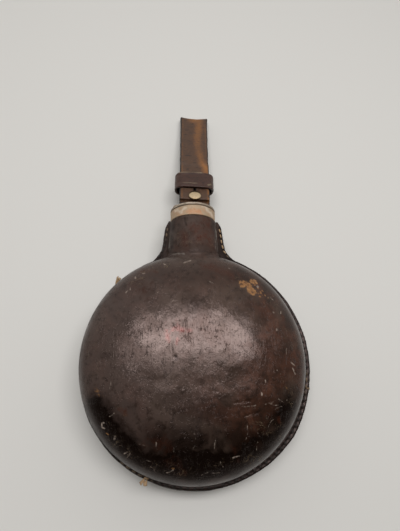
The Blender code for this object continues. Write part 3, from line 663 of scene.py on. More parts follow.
FRONT_WORN = (
    (-30, -66, 40, -66, 6.0, 0.5), (36, -40, 54, -48, 8.0, 0.7), (58, -18, 66, -30, 7.0, 0.7),
    (-60, -44, -40, -60, 7.0, 0.6), (-46, 58, -22, 68, 8.0, 0.7), (-10, 70, 0, 72, 4.0, 0.7),
    (-14, 94, 12, 90, 10.0, 0.7), (10, -20, 40, -30, 9.0, 0.3), (54, 40, 64, 16, 8.0, 0.7),
    (-50, -30, -44, -34, 5.0, 0.6), (-70, 20, -66, -20, 7.0, 0.5), (30, 62, 50, 46, 7.0, 0.5),
    (34, -64, 46, -64, 5.0, 0.9),
)
FRONT_DRY = ((-12, 84.5, 14, 84.5, 4.5, 1.0), (8, 104, 9, 90, 5.0, 0.35))
# Painted highlights: pale lines down the neck's sides and along its root
FRONT_PAINTED_HIGHLIGHTS = (
    (-19.8, 103, -19.8, 88, 1.1, 0.9), (18.4, 103, 17.4, 86, 1.0, 0.9),
    (-17, 80.3, -8, 78.4, 0.8, 0.6), (8, 78.6, 16, 81, 0.8, 0.3),
)
SCRATCH_STEP = 1.2


def scratch_marks(scratches, half_width):
    """Crooked lines of short marks along scratches, fainter here and there."""
    chance = random.Random(5)
    marks = []
    for across, along, degrees, length in scratches:
        turn = math.radians(degrees)
        strength = chance.uniform(0.5, 1.0)
        for step in range(round(length / SCRATCH_STEP)):
            turn += chance.uniform(-0.25, 0.25)
            end = (across + SCRATCH_STEP * math.cos(turn), along + SCRATCH_STEP * math.sin(turn))
            marks.append((across, along, *end, half_width, strength * chance.uniform(0.45, 1.0)))
            across, along = end
    return marks


def on_flange(places):
    """How far out on the seam's flange each place is, from 0 on the body to 1."""
    out = ease(off_axis(places), WALL_RADIUS - 0.3 * MM, WALL_RADIUS + 0.8 * MM)
    neck_side = ease(
        np.abs(places[:, 0]), NECK_ROOT_RADIUS - 1.6 * MM, NECK_ROOT_RADIUS - 0.4 * MM
    )
    left_rim = 0.6 + 0.4 * ease(places[:, 0], -0.078, -0.060)
    beside_neck = neck_side * np.where(places[:, 0] < 0.0, 0.75, 0.95)
    return out * np.where(places[:, 1] < 0.078, left_rim, beside_neck)


def paint_front(half):
    """Paint the marks of the front that the photograph shows."""
    places = vertex_rows(half)
    fine = wander(places, 3.5 * MM, 1.3)
    broad_shift = wander(places, 14 * MM, 6.0)
    flange, wall = on_flange(places), off_axis(places)
    dry_flange = flange * (0.35 + 0.65 * ease(places[:, 1], 0.0, 0.060))
    dull_wall = 0.6 * ease(wall, 0.078, 0.0808)
    dry_spots = near(places, FRONT_DRY, 0.5 * fine)
    scratches = near(places, scratch_marks(FRONT_SCRATCHES, 0.46), 0.2 * fine)
    specks = near(places, FRONT_SPECKS, 0.2 * fine)
    # Painted shade: darker round the dome's rim
    rim_shade = 0.35 * ease(wall, 0.068, 0.080)
    blackened = near(places, FRONT_DARK_AND_SHADE, 1.6 * fine)
    # The painted highlights on the neck's steep sides keep to a band just above the flange
    rise = (places[:, 2] - SEAM_HEIGHT) / MM
    beside = ease(rise, 4.5, 6.5) * (1.0 - ease(rise, 8.0, 10.0))
    highlight_share = near(places, FRONT_PAINTED_HIGHLIGHTS, 0.3 * fine)
    for name, painted in (
        ("dry", np.maximum.reduce((dry_flange, dull_wall, dry_spots))),
        ("scratch", np.maximum(specks, scratches)),
        ("black", np.maximum.reduce((blackened, rim_shade, 1.3 * flange))),
        ("painted_highlight", highlight_share * np.where(np.abs(places[:, 0]) > 17 * MM, beside, 1.0)),
        ("bare", near(places, FRONT_BARE, fine)),
        ("red", near(places, FRONT_RED, fine + broad_shift)),
        ("pink", near(places, FRONT_PINK, 0.7 * fine)),
        ("worn", near(places, FRONT_WORN, fine + broad_shift)),
    ):
        paint(half, name, painted)


# Creases and dents, as marks again
FRONT_CREASES = (
    (-21, 83.5, -15, 79.3, 1.3, 1.0), (-15, 79.3, -6, 77.6, 1.3, 0.7),
    (-6, 77.6, 6, 77.4, 1.6, 0.35), (-9, 80.4, 10, 80.6, 1.6, 0.7), (6, 77.4, 16, 80.6, 1.3, 0.7),
    (16, 80.6, 20, 84.5, 1.3, 0.9), (-7.5, 109, -7.3, 103, 1.0, 0.7),
    (-13, 104, -12, 92, 1.6, 0.3), (11, 106, 12.5, 90, 1.8, 0.35), (-3, 99, 4, 91, 1.6, 0.25),
    (-15.0, 0.6, -15.1, -0.4, 1.0, 0.5), (30, -37, 39, -35, 0.9, 0.5),
    (30, -38, 31, -46, 0.9, 0.4), (45, -48, 50, -42, 1.0, 0.4), (24, -29, 34, -28, 0.8, 0.35),
)
FRONT_DENTS = (
    (-34, -14, -4, -17, 9.0, 0.8), (2, -18, 34, -12, 8.0, 0.7), (-48, 20, -46, -4, 9.0, 0.5),
    (-26, 24, -22, 30, 6.0, 0.4), (10, 20, 16, 26, 6.0, 0.45), (30, 12, 34, 4, 5.0, 0.4),
    (-8, -42, 8, -40, 9.0, 0.6), (44, 36, 54, 26, 7.0, 0.5), (-40, -42, -30, -50, 8.0, 0.6),
    (20, 44, 30, 40, 7.0, 0.4), (-30, 52, -16, 56, 8.0, 0.5),
)


def paint_back(half):
    """Paint plain wear on the back: rubbed where it rests, blackened by hands, scratched."""
    places = vertex_rows(half)
    fine = wander(places, 3.5 * MM, 1.3)
    paint(half, "dry", on_flange(places) * ease(places[:, 1], 0.0, 0.060))
    chance = random.Random(9)
    marks = {"bare": [], "worn": [], "black": [], "red": []}
    for name, count, low, high, width, strength in (
        ("bare", 16, 46, 60, 2.0, 0.75), ("worn", 26, 30, 74, 7.0, 0.7),
        ("black", 9, 20, 70, 12.0, 0.7), ("red", 10, 30, 72, 5.0, 0.6),
    ):
        for number in range(count):
            turn = chance.uniform(0.0, 2 * math.pi)
            reach = chance.uniform(low, high)
            spot = (reach * math.cos(turn), reach * math.sin(turn))
            end = (spot[0] + chance.uniform(-9, 9), spot[1] + chance.uniform(-9, 9))
            marks[name].append((*spot, *end, width * chance.uniform(0.5, 1.2), strength))
    for name, listed in marks.items():
        rubbed = near(places, listed, fine)
        paint(half, name, np.maximum(rubbed, on_flange(places)) if name == "black" else rubbed)
    scratches = []
    for number in range(34):
        turn = chance.uniform(0.0, 2 * math.pi)
        reach = 74 * math.sqrt(chance.random())
        place_here = (reach * math.cos(turn), reach * math.sin(turn))
        scratches.append((*place_here, chance.uniform(0, 180), chance.uniform(4, 14)))
    paint(half, "scratch", near(places, scratch_marks(scratches, 0.5), 0.2 * fine))


cover_front = moulded_half("moulded_front", FRONT_RISE, 0.0, 1)
lean_out(cover_front)
press(cover_front, FRONT_CREASES, CREASE_DEPTH)
press(cover_front, FRONT_DENTS, DENT_DEPTH)
hollow_out(cover_front, FRONT_RISE, 0.0, 1)
paint_front(cover_front)
smooth(cover_front, 50.0)
hand_in(cover_front, hide, "canteen", "cover_front")
cover_back = moulded_half("moulded_back", SEAM_HEIGHT, BACK_FLAT, -1)
hollow_out(cover_back, SEAM_HEIGHT, BACK_FLAT, -1)
paint_back(cover_back)
smooth(cover_back, 50.0)
hand_in(cover_back, hide, "canteen", "cover_back")


# The seam: waxed linen thread, saddle-stitched by hand through awl holes in both flanges, so that
# each face shows one row. It is black with wax and dirt but for some rubbed stitches by the neck.

STITCH_MARGIN = 0.0024
STITCH_DROP = 0.004
STITCH_PITCH = 0.0048
STITCH_LENGTH = 0.0036
STITCH_WIDTH = 0.0013
STITCH_SLANT = math.radians(9.0)
STITCH_SAG = 0.0005
STITCH_SUNK = 0.12 * MM
AWL_RADIUS = 0.85 * MM
AWL_DEPTH = 0.5 * MM
BESIDE_NECK = 0.018


def distances(line):
    """Distance along a line of each of its points from the first."""
    return np.concatenate(([0.0], np.cumsum(np.linalg.norm(np.diff(line, axis=0), axis=1))))


def stitch_places():
    """Place of each stitch along the seam, with the seam's direction there."""
    line = np.array(seam_line(STITCH_MARGIN, FLANGE_SHIFT / 2, NECK_TOP - STITCH_DROP))
    along = distances(line)
    stops = np.arange(STITCH_PITCH / 2, along[-1], STITCH_PITCH)
    spots = [np.interp(stops, along, line[:, axis]) for axis in (0, 1)]
    ahead = [np.interp(stops + 1 * MM, along, line[:, axis]) for axis in (0, 1)]
    turns = np.arctan2(ahead[1] - spots[1], ahead[0] - spots[0])
    return list(zip(*spots, turns))


def one_stitch():
    """A single stitch: a short round thread whose two ends dip into their holes."""
    bpy.ops.object.select_all(action="DESELECT")
    bpy.ops.mesh.primitive_uv_sphere_add(segments=8, ring_count=7, radius=0.5)
    stitch = bpy.context.object
    bpy.ops.object.mode_set(mode="EDIT")
    bpy.ops.transform.rotate(value=math.pi / 2, orient_axis="Y", center_override=(0.0, 0.0, 0.0))
    bpy.ops.transform.resize(value=(STITCH_LENGTH, STITCH_WIDTH, STITCH_WIDTH * 0.75))
    bpy.ops.object.mode_set(mode="OBJECT")
    for vertex in stitch.data.vertices:
        vertex.co.z -= STITCH_SAG * (2 * vertex.co.x / STITCH_LENGTH) ** 2
    return stitch


def joined(pieces):
    """Join pieces on to the first of them."""
    alone(pieces[0])
    for piece in pieces:
        piece.select_set(True)
    bpy.ops.object.join()
    return bpy.context.object


def seam_stitches(name, side):
    """Row of stitches on one face of the seam, joined into one piece."""
    chance = random.Random(11 + side)
    model = one_stitch()
    copies = []
    level = SEAM_HEIGHT + side * (GAP / 2 + LEATHER - STITCH_SUNK)
    for across, along, turn in stitch_places():
        stitch = bpy.data.objects.new(name, model.data.copy())
        bpy.context.scene.collection.objects.link(stitch)
        slant = turn + side * STITCH_SLANT + chance.uniform(-0.07, 0.07)
        size = chance.uniform(0.92, 1.06)
        place_here = Matrix.Translation((across, along, level)) @ Matrix.Rotation(slant, 4, "Z")
        stitch.data.transform(place_here @ Matrix.Diagonal((size, size, size * side, 1.0)))
        if side < 0:
            stitch.data.flip_normals()
        copies.append(stitch)
    bpy.data.objects.remove(model)
    return joined(copies)


def pierce(half, side):
    """Press the awl holes into a half's flange at its stitches' ends, and darken its edge."""
    places = vertex_rows(half)
    flat = places[:, :2]
    off_body = (off_axis(places) > WALL_RADIUS - 0.5 * MM) & (np.abs(flat[:, 0]) > BESIDE_NECK)
    rim = np.flatnonzero(off_body & (np.abs(places[:, 2] - SEAM_HEIGHT) < 2 * LEATHER))
    marks = []
    for across, along, turn in stitch_places():
        ahead = Vector((math.cos(turn), math.sin(turn)))
        for end in (-0.5, 0.5):
            spot = (Vector((across, along)) + ahead * end * STITCH_LENGTH) / MM
            marks.append((*spot, *spot, AWL_RADIUS / MM, 1.2))
    # Painted shade in the awl holes
    holes = np.zeros(len(places))
    holes[rim] = near(places[rim], marks, 0.0)
    depth = holes * (np.abs(places[:, 2] - SEAM_HEIGHT) > 0.7 * LEATHER) * AWL_DEPTH
    move_to(half, places - np.array((0, 0, side)) * depth[:, None])
    paint(half, "hole", holes)
    outline = np.array(seam_line(0.0, FLANGE_SHIFT, NECK_TOP))
    edge = np.zeros(len(places))
    for index in rim:
        gap = np.min(off_axis(outline - flat[index]))
        edge[index] = math.exp(-(gap / (1.0 * MM)) ** 2)
    paint(half, "edge", edge)


pierce(cover_front, 1)
pierce(cover_back, -1)


# Linen thread waxed with black cobbler's wax, straw coloured where the wax has rubbed off
linen, place = new_finish("waxed_linen_thread")
plies = add_node(linen, "TexNoise", {"Vector": place, "Scale": 1 / (0.5 * MM), "Detail": 4.0})
rubbed = add_node(linen, "Attribute", (), "Fac", attribute_name="rubbed")
dirty = layered(linen, "0a0706", (plies, 0, 1, 1, "241b15"))
straw = layered(linen, "8a6a48", (plies, 0, 1, 1, "c2a684"))
surface(linen, layered(linen, dirty, (rubbed, 0, 1, 1, straw)), 0.62, plies, 0.15 * MM)

# Frayed ends of thread that stand out of the seam: x, y, direction in degrees and length, in mm
LOOSE_ENDS = (
    (-60.3, 58.6, 58, 6.0), (-34.6, -76.4, -125, 4.4), (-33.0, -77.2, -100, 4.0),
    (83.0, -20.0, -20, 2.5),
)
FIBRE_RADIUS = 0.48 * MM


def loose_ends(name):
    """Frayed ends of thread, each a small bundle of fibres."""
    chance = random.Random(3)
    fibres = []
    for across, along, degrees, length in LOOSE_ENDS:
        for strand in range(7):
            turn = math.radians(degrees + chance.uniform(-14, 14))
            rise = chance.uniform(0.25, 0.6)
            points = []
            for step in range(6):
                reach = length * step / 5 * chance.uniform(0.85, 1.0)
                turn += chance.uniform(-0.12, 0.12)
                points.append((
                    (across + reach * math.cos(turn)) * MM, (along + reach * math.sin(turn)) * MM,
                    SEAM_HEIGHT + LEATHER + (reach * rise - 0.2) * MM,
                ))
            thin = {"bevel_depth": FIBRE_RADIUS, "bevel_resolution": 0, "use_fill_caps": True}
            fibres.append(tidy(drawn(name, points, **thin)))
    return fibres


RUBBED_STITCHES = (
    (-60, 59, -57, 64, 4.0, 1.2), (-34.4, -78, -36, -81, 2.8, 1.5), (83, -20, 86, -21, 3.0, 0.4),
    (22.5, 108, 25, 86, 3.5, 1.0), (-22.5, 107, -23, 100, 2.5, 0.4), (84, -12, 84, -20, 3.0, 0.35),
    (-50, -68, -40, -74, 3.0, 0.3),
)


def finish_stitches(name, side, node):
    """Paint a row of stitches, the front one with its frayed ends, and hand it in."""
    row = seam_stitches(name, side)
    if side > 0:
        row = joined([row, *loose_ends(name)])
    places = vertex_rows(row)
    paint(row, "rubbed", near(places, RUBBED_STITCHES, wander(places, 5 * MM, 1.0)))
    bpy.ops.object.shade_smooth()
    hand_in(row, linen, "canteen", node)


finish_stitches("front_stitches", 1, "seam_thread_front")
finish_stitches("back_stitches", -1, "seam_thread_back")


# The screw cap is spun and pressed from plated brass: a skirt with the rolled thread inside, a
# beaded plate soldered into it, and a cork disc that seals on the mouth.

CAP_RADIUS = 0.0185
CAP_WALL = 0.0011
CAP_BOTTOM = 0.1118
CAP_BAND_LENGTH = 0.0086
BEAD_HEIGHT = 0.0022
CAP_TOP_PLATE = 0.001
SPIGOT_WALL = 0.0008
SPIGOT_LENGTH = 0.0015
SEAL_THICKNESS = 0.0018
STAPLE_WIRE = 0.00115
STAPLE_HALF_SPAN = 0.016
BEAD_ROUND = 0.0009
BEAD_STEPS = 8
STAPLE_HOLE_DEPTH = 4 * CAP_TOP_PLATE

cap_bore = CAP_RADIUS - CAP_WALL
cap_rim = CAP_BOTTOM + CAP_BAND_LENGTH
band_line = [(CAP_RADIUS - 0.35 * MM, cap_rim), (CAP_RADIUS, cap_rim - 0.5 * MM)]
band_line += [
    (CAP_RADIUS - 0.12 * MM, CAP_BOTTOM + rise * MM) for rise in (6.2, 5.2, 4.2, 3.2, 2.2)
]
band_line += [(CAP_RADIUS, CAP_BOTTOM + 0.9 * MM), (CAP_RADIUS, CAP_BOTTOM + 0.4 * MM)]
band_line += [(CAP_RADIUS - 0.35 * MM, CAP_BOTTOM), (cap_bore, CAP_BOTTOM), (cap_bore, cap_rim)]
cap_band = turned("plated_cap_band", band_line)
combine(cap_band, thread_ridge("cap_ridge", COLLAR_RADIUS + GAP + THREAD_ROUND, 0.5), "UNION")
round_edges(cap_band, 0.12 * MM)
smooth(cap_band)

bead = [(0.0, CAP_TOP)]
for step in range(BEAD_STEPS + 1):
    turn = math.pi * (0.5 - step / BEAD_STEPS)
    bead.append((
        CAP_RADIUS - BEAD_ROUND + BEAD_ROUND * math.cos(turn),
        CAP_TOP - BEAD_HEIGHT / 2 + BEAD_HEIGHT / 2 * math.sin(turn),
    ))
spigot = cap_bore - GAP
under = CAP_TOP - CAP_TOP_PLATE
spigot_foot = CAP_TOP - BEAD_HEIGHT - SPIGOT_LENGTH
bead += [
    (spigot, CAP_TOP - BEAD_HEIGHT), (spigot, spigot_foot), (spigot - SPIGOT_WALL, spigot_foot)
]
bead += [(spigot - SPIGOT_WALL, under), (0.0, under)]
cap_top = turned("beaded_cap_top", bead)
for side in (-1, 1):
    bpy.ops.object.select_all(action="DESELECT")
    bpy.ops.mesh.primitive_cylinder_add(
        vertices=24, radius=STAPLE_WIRE + GAP, depth=STAPLE_HOLE_DEPTH,
        location=(side * STAPLE_HALF_SPAN, CAP_TOP, SEAM_HEIGHT), rotation=(math.pi / 2, 0.0, 0.0),
    )
    combine(cap_top, bpy.context.object, "DIFFERENCE")
clean_cuts(cap_top)
smooth(cap_top)

# Worn plating over brass: dull beige metal, copper coloured where the plate has gone, greyer on
# the bead, with painted highlights on the band's sides and the bead, and painted shade in the
# groove under the bead, along the top edge and along the foot
plating, place = new_finish("worn_plated_brass")
wear, pits = (
    add_node(plating, "TexNoise", {
        "Vector": place, "Scale": 1 / (size * MM), "Detail": detail, "Roughness": rough,
    }) for size, detail, rough in ((6, 5.0, 0.62), (1.3, 4.0, 0.6))
)
axes = add_node(plating, "SeparateXYZ", (place,)).node.outputs
off_middle = add_node(plating, "Math", (axes["X"],), operation="ABSOLUTE")
aside = add_node(plating, "MapRange", (off_middle, 4 * MM, 13 * MM, 0.45, 1.0))
ragged = {}
for name in ("copper", "pale"):
    painted = add_node(plating, "Attribute", (), "Fac", attribute_name=name)
    ragged[name] = add_node(plating, "Math", (pits, 0.9, painted), operation="MULTIPLY_ADD")
colour = layered(
    plating, "a4917a", (wear, 0, 1, 1, "bda387"), (wear, 0.54, 0.72, 1, "bf987c"),
    (ragged["copper"], 0.55, 1.5, 1, "c08258"), (pits, 0.60, 0.85, 1, "8a7352"),
    (axes["Y"], cap_rim + 0.2 * MM, cap_rim + 0.7 * MM, 1, "9a8b7b"),
    (ragged["pale"], 0.60, 1.4, 1, "e4d6c4"),
)
# Painted shade in the groove under the bead, along the top edge and along the foot, deeper towards
# the sides
for level, reach in ((cap_rim, 0.75 * MM), (CAP_TOP, 0.5 * MM), (CAP_BOTTOM - 0.3 * MM, 0.7 * MM)):
    off = add_node(plating, "Math", (axes["Y"], level), operation="SUBTRACT")
    far = add_node(plating, "Math", (off,), operation="ABSOLUTE")
    share = add_node(plating, "MapRange", (far, 0.3 * reach, reach, 0.95, 0.0))
    painted_shade = add_node(plating, "Math", (share, aside), operation="MULTIPLY")
    colour = layered(plating, colour, (painted_shade, 0, 1, 1, "3b2b1f"))
surface(plating, colour, (pits, 0.3, 0.7, 0.58, 0.78), pits, 0.08 * MM, 0.4, Metallic=0.4)
WORN_THROUGH = (
    (-3.5, 114.6, 4, 114.3, 2.6, 0.65), (-14, 116, -12, 113, 2.0, 0.35),
    (9, 117, 12, 114, 2.0, 0.3),
)
# Painted highlights on the band's left and right and along the bead
PAINTED_CAP_HIGHLIGHTS = (
    (-15, 118.5, -10, 114.5, 1.6, 0.55), (-9, 116, -7, 118, 1.2, 0.6),
    (10, 118.5, 15, 114.5, 1.8, 0.65), (6, 119.4, 10, 119.2, 0.8, 0.5),
    (-6, 122.0, 6, 122.4, 0.6, 0.5), (-15, 121.6, -9, 122.2, 0.7, 0.5),
)
for piece, node in ((cap_band, "cap_band"), (cap_top, "cap_top")):
    places = vertex_rows(piece)
    stray = wander(places, 3 * MM, 1.2)
    for name, marks in (("copper", WORN_THROUGH), ("pale", PAINTED_CAP_HIGHLIGHTS)):
        paint(piece, name, near(places, marks, stray) * (places[:, 2] > SEAM_HEIGHT))
    hand_in(piece, plating, "cap", node)

seal_top = CAP_TOP - CAP_TOP_PLATE - GAP
seal_radius = spigot - SPIGOT_WALL - GAP
seal_foot = seal_top - SEAL_THICKNESS
seal_groove = seal_foot + 0.25 * MM
seal_line = [(0.0, seal_top), (seal_radius, seal_top), (seal_radius, seal_foot)]
seal_line += [(MOUTH_RADIUS + 0.4 * MM, seal_foot), (MOUTH_RADIUS, seal_groove)]
seal_line += [(MOUTH_RADIUS - TUBE_WALL, seal_groove), (MOUTH_RADIUS - 1.5 * TUBE_WALL, seal_foot)]
cap_seal = turned("cork_disc", seal_line + [(0.0, seal_foot)])
round_edges(cap_seal, 0.2 * MM)
smooth(cap_seal)
# Cork: pale brown with darker pores, stained round where it seals
cork, place = new_finish("cork")
pores = add_node(cork, "TexVoronoi", {"Vector": place, "Scale": 1 / (1.3 * MM)})
pore = add_node(cork, "MapRange", (pores, 0.1, 0.45))
stain = add_node(cork, "TexNoise", {"Vector": place, "Scale": 1 / (6 * MM), "Detail": 4.0})
cork_tint = layered(cork, "c19a6c", (stain, 0, 1, 1, "94683f"))
surface(cork, layered(cork, "5e3d22", (pore, 0, 1, 1, cork_tint)), 0.85, pore, 0.2 * MM, 0.5)
hand_in(cap_seal, cork, "seal", "cap_seal")


# A staple of plated wire stands on the cap, with both legs soldered through its plate. The strap
# turns round it.

STAPLE_CORNER = (0.0026, 0.0044)
BAR_Y = 0.127544935
CORNER_STEPS = 8

staple_line = [(-STAPLE_HALF_SPAN, CAP_TOP - CAP_TOP_PLATE + GAP / 2, SEAM_HEIGHT)]
for side, steps in ((-1, range(CORNER_STEPS + 1)), (1, range(CORNER_STEPS, -1, -1))):
    for step in steps:
        turn = 0.5 * math.pi * step / CORNER_STEPS
        across = side * (STAPLE_HALF_SPAN - STAPLE_CORNER[0] * (1.0 - math.cos(turn)))
        up = BAR_Y - STAPLE_CORNER[1] * (1.0 - math.sin(turn))
        staple_line.append((across, up, SEAM_HEIGHT))
staple_line.append((STAPLE_HALF_SPAN, CAP_TOP - CAP_TOP_PLATE + GAP / 2, SEAM_HEIGHT))
round_wire = {"bevel_depth": STAPLE_WIRE, "bevel_resolution": 5, "use_fill_caps": True}
staple = tidy(drawn("wire_staple", staple_line, **round_wire))
smooth(staple)
hand_in(staple, plating, "cap", "strap_staple")


# The strap is one length of harness leather. It starts under the stud, turns round the staple,
# runs up to the fold and comes back down over its own start, where a slit buttons on the stud.

STRAP_WIDTH = 0.026
STRAP_THICKNESS = 0.0023
STRAP_REACH = 0.106
STRAP_SHIFT = 0.0015
STRAP_YAW = math.radians(1.3)
LAYER_OFFSET = 0.0029
OUTER_OFFSET = 0.0055
INNER_END = 0.036
OUTER_END = 0.0022
LAP_START = 0.040
LAP_LENGTH = 0.013
BENDS = ((0.0105, 0.0155), (0.088, 0.100))
DROOP_AT_STAPLE = math.radians(22.0)
DROOP_AT_FOLD = math.radians(4.0)
STUD_PLACE = 0.0058
SLIT_LENGTH = 0.0108
SLIT_WIDTH = 0.0015
LAP_STEPS = 12
STATIONS = 651
OVERHANG = 0.012
STRAP_ROWS = 300
STRAP_COLUMNS = 26
EDGE_WEAR = 0.25 * MM
FOLD_BEGINS = 0.006
FOLD_DIP = 1.7 * MM
FOLD_FLARE = 0.35 * MM
HOLE_RADIUS = 1.8 * MM


def droop_between_bends():
    """How far the strap's straight stretch droops, so that the fold comes down to the table."""
    first, last = (sum(bend) / 2 for bend in BENDS)
    fall = SEAM_HEIGHT - LAYER_OFFSET - STRAP_THICKNESS / 2
    fall -= first * math.sin(DROOP_AT_STAPLE) + (STRAP_REACH - last) * math.sin(DROOP_AT_FOLD)
    return math.asin(fall / (last - first))


strap_droop = droop_between_bends()
stations = np.linspace(-OVERHANG, STRAP_REACH + OVERHANG, STATIONS)
slopes = (DROOP_AT_STAPLE - strap_droop) * (1.0 - ease(stations, *BENDS[0]))
slopes += (DROOP_AT_FOLD - strap_droop) * ease(stations, *BENDS[1])
stride = stations[1] - stations[0]
levels = np.cumsum(np.cos(slopes)) * stride
drops = -np.cumsum(np.sin(slopes)) * stride
levels -= np.interp(0.0, stations, levels)
drops -= np.interp(0.0, stations, drops)
strap_turn = Matrix.Rotation(-STRAP_YAW, 4, "Z") @ Matrix.Rotation(-strap_droop, 4, "X")
strap_frame = Matrix.Translation((STRAP_SHIFT, BAR_Y, SEAM_HEIGHT)) @ strap_turn


def on_strap(across, along, up):
    """Point across the strap, along it from the staple, and up through its layers."""
    slope = np.interp(along, stations, slopes)
    level = np.interp(along, stations, levels) + up * math.sin(slope)
    drop = np.interp(along, stations, drops) + up * math.cos(slope)
    return strap_frame @ Vector((across, level, drop))


def frame_on_strap(along):
    """Frame that lies on the strap's middle at a distance along it."""
    slope = float(np.interp(along, stations, slopes))
    foot = Matrix.Translation(on_strap(0.0, along, 0.0)) @ strap_turn
    return foot @ Matrix.Rotation(-slope, 4, "X")


def half_turn(middle, start, steps=14):
    """Points of the half circle in which the strap turns back at one end."""
    turns = [start + math.pi * step / steps for step in range(steps + 1)]
    return [
        (middle + LAYER_OFFSET * math.cos(turn), LAYER_OFFSET * math.sin(turn)) for turn in turns
    ]


strap_side = [(INNER_END, LAYER_OFFSET), (0.0, LAYER_OFFSET)]
strap_side += half_turn(0.0, 0.5 * math.pi)[1:]
strap_side += [(STRAP_REACH, -LAYER_OFFSET)] + half_turn(STRAP_REACH, -0.5 * math.pi)[1:]
for step in range(LAP_STEPS + 1):
    along = LAP_START + LAP_LENGTH * (1.0 - step / LAP_STEPS)
    lapped = 1.0 - float(ease(along, LAP_START, LAP_START + LAP_LENGTH))
    strap_side.append((along, LAYER_OFFSET + (OUTER_OFFSET - LAYER_OFFSET) * lapped))
strap_side.append((OUTER_END, OUTER_OFFSET))
strap_side = np.array(strap_side)
run = distances(strap_side)
stops = np.linspace(0.0, run[-1], STRAP_ROWS + 1)
row_along, row_up = (np.interp(stops, run, strap_side[:, axis]) for axis in (0, 1))

bpy.ops.object.select_all(action="DESELECT")
bpy.ops.mesh.primitive_grid_add(x_subdivisions=STRAP_COLUMNS, y_subdivisions=STRAP_ROWS, size=1.0)
strap = bpy.context.object
strap.name = "carrying_strap"
for vertex in strap.data.vertices:
    share = vertex.co.x * 2
    row = round((vertex.co.y + 0.5) * STRAP_ROWS)
    along, up = row_along[row], row_up[row]
    fold = float(ease(along, STRAP_REACH - FOLD_BEGINS, STRAP_REACH + LAYER_OFFSET))
    worn_edge = EDGE_WEAR * noise.noise(Vector((share, stops[row] / (9 * MM), 0.0)))
    across = share * (STRAP_WIDTH / 2 - 0.3 * MM + worn_edge + FOLD_FLARE * fold)
    vertex.co = on_strap(across, along - FOLD_DIP * fold * (1.0 - share ** 2), up)
tidy(strap)
modify(strap, "SOLIDIFY", thickness=STRAP_THICKNESS, offset=0.0, use_even_offset=True)
round_edges(strap, 0.65 * MM, 3)

stud_foot = frame_on_strap(STUD_PLACE)
bpy.ops.object.select_all(action="DESELECT")
bpy.ops.mesh.primitive_cube_add(size=1.0)
slit = bpy.context.object
slit.data.transform(Matrix.Diagonal((SLIT_WIDTH, SLIT_LENGTH, 4 * MM, 1.0)))
over_layer = Vector((0.0, SLIT_LENGTH / 2, 2 * MM + LAYER_OFFSET + STRAP_THICKNESS / 2 + GAP / 2))
slit.data.transform(stud_foot @ Matrix.Translation(over_layer))
bpy.ops.mesh.primitive_cylinder_add(vertices=32, radius=HOLE_RADIUS, depth=8 * MM)
hole = bpy.context.object
hole.data.transform(stud_foot @ Matrix.Translation((0.0, 0.0, LAYER_OFFSET + 2 * MM)))
combine(strap, slit, "DIFFERENCE")
combine(strap, hole, "DIFFERENCE")
swell(strap, "strap_waves", 9 * MM, 0.3 * MM)
smooth(strap, 45.0)

# Harness leather: brown, stiff and dry, dark at the edges, with its orange core showing where the
# keeper and the hand have rubbed it, and short cracks across. The dark of the edges also lays
# painted shade in the slit and where the strap turns round the staple
harness, place = new_finish("brown_harness_leather")
cloudy, fine = (
    add_node(harness, "TexNoise", {
        "Vector": place, "Scale": 1 / (size * MM), "Detail": 5.0, "Roughness": rough,
    }) for size, rough in ((8, 0.6), (1.8, 0.65))
)
across_it = add_node(harness, "Mapping", {"Vector": place, "Scale": (0.25, 1.0, 1.0)})
fine_lines = {"Vector": across_it, "Scale": 1 / (1.5 * MM), "Detail": 3.0}
cracks = add_node(harness, "TexNoise", fine_lines)
rub, edge = (
    add_node(harness, "Attribute", (), "Fac", attribute_name=name) for name in ("rub", "edge")
)
rubbed = add_node(harness, "Math", (fine, 1.2, rub), operation="MULTIPLY_ADD")
edging = add_node(harness, "Math", (cloudy, 0.5, edge), operation="MULTIPLY_ADD")
colour = layered(
    harness, "3c261a", (cloudy, 0, 1, 1, "5b3f2b"), (fine, 0.50, 0.78, 1, "2f2017"),
    (cracks, 0.40, 0.30, 1, "2a1b13"), (rubbed, 0.70, 1.9, 1, "9a632d"),
    (edging, 0.55, 1.25, 1, "18100c"),
)
strap_relief = add_node(harness, "Math", (cracks, fine), operation="ADD")
surface(harness, colour, (cloudy, 0.35, 0.65, 0.40, 0.58), strap_relief, 0.2 * MM, IOR=1.48)
# The rubbed streak wanders along the strap: along, across and strength, in millimetres
STREAK = (
    (14, 10, 0.0), (32, 10.5, 0.7), (40, 10, 1.1), (50, 6.5, 0.7), (64, 4, 0.55), (81, 3, 0.6),
    (92, 4.5, 0.75), (106, 5, 0.9),
)
STRAP_FLECKS = (
    (13.6, 131, 13.8, 133.6, 0.6, 1.2), (13.4, 137.5, 13.6, 142, 0.7, 1.1),
    (-11.4, 131, -11.2, 136, 0.8, 0.8),
)
STREAK_WIDTH = 3.8
to_strap = strap_frame.inverted()
places = vertex_rows(strap)
local = np.array([to_strap @ Vector(spot) for spot in places]) / MM
across, along, up = local.T
stray = wander(places, 9 * MM, 1.0)
sideways = np.abs(across) / (STRAP_WIDTH / 2 / MM)
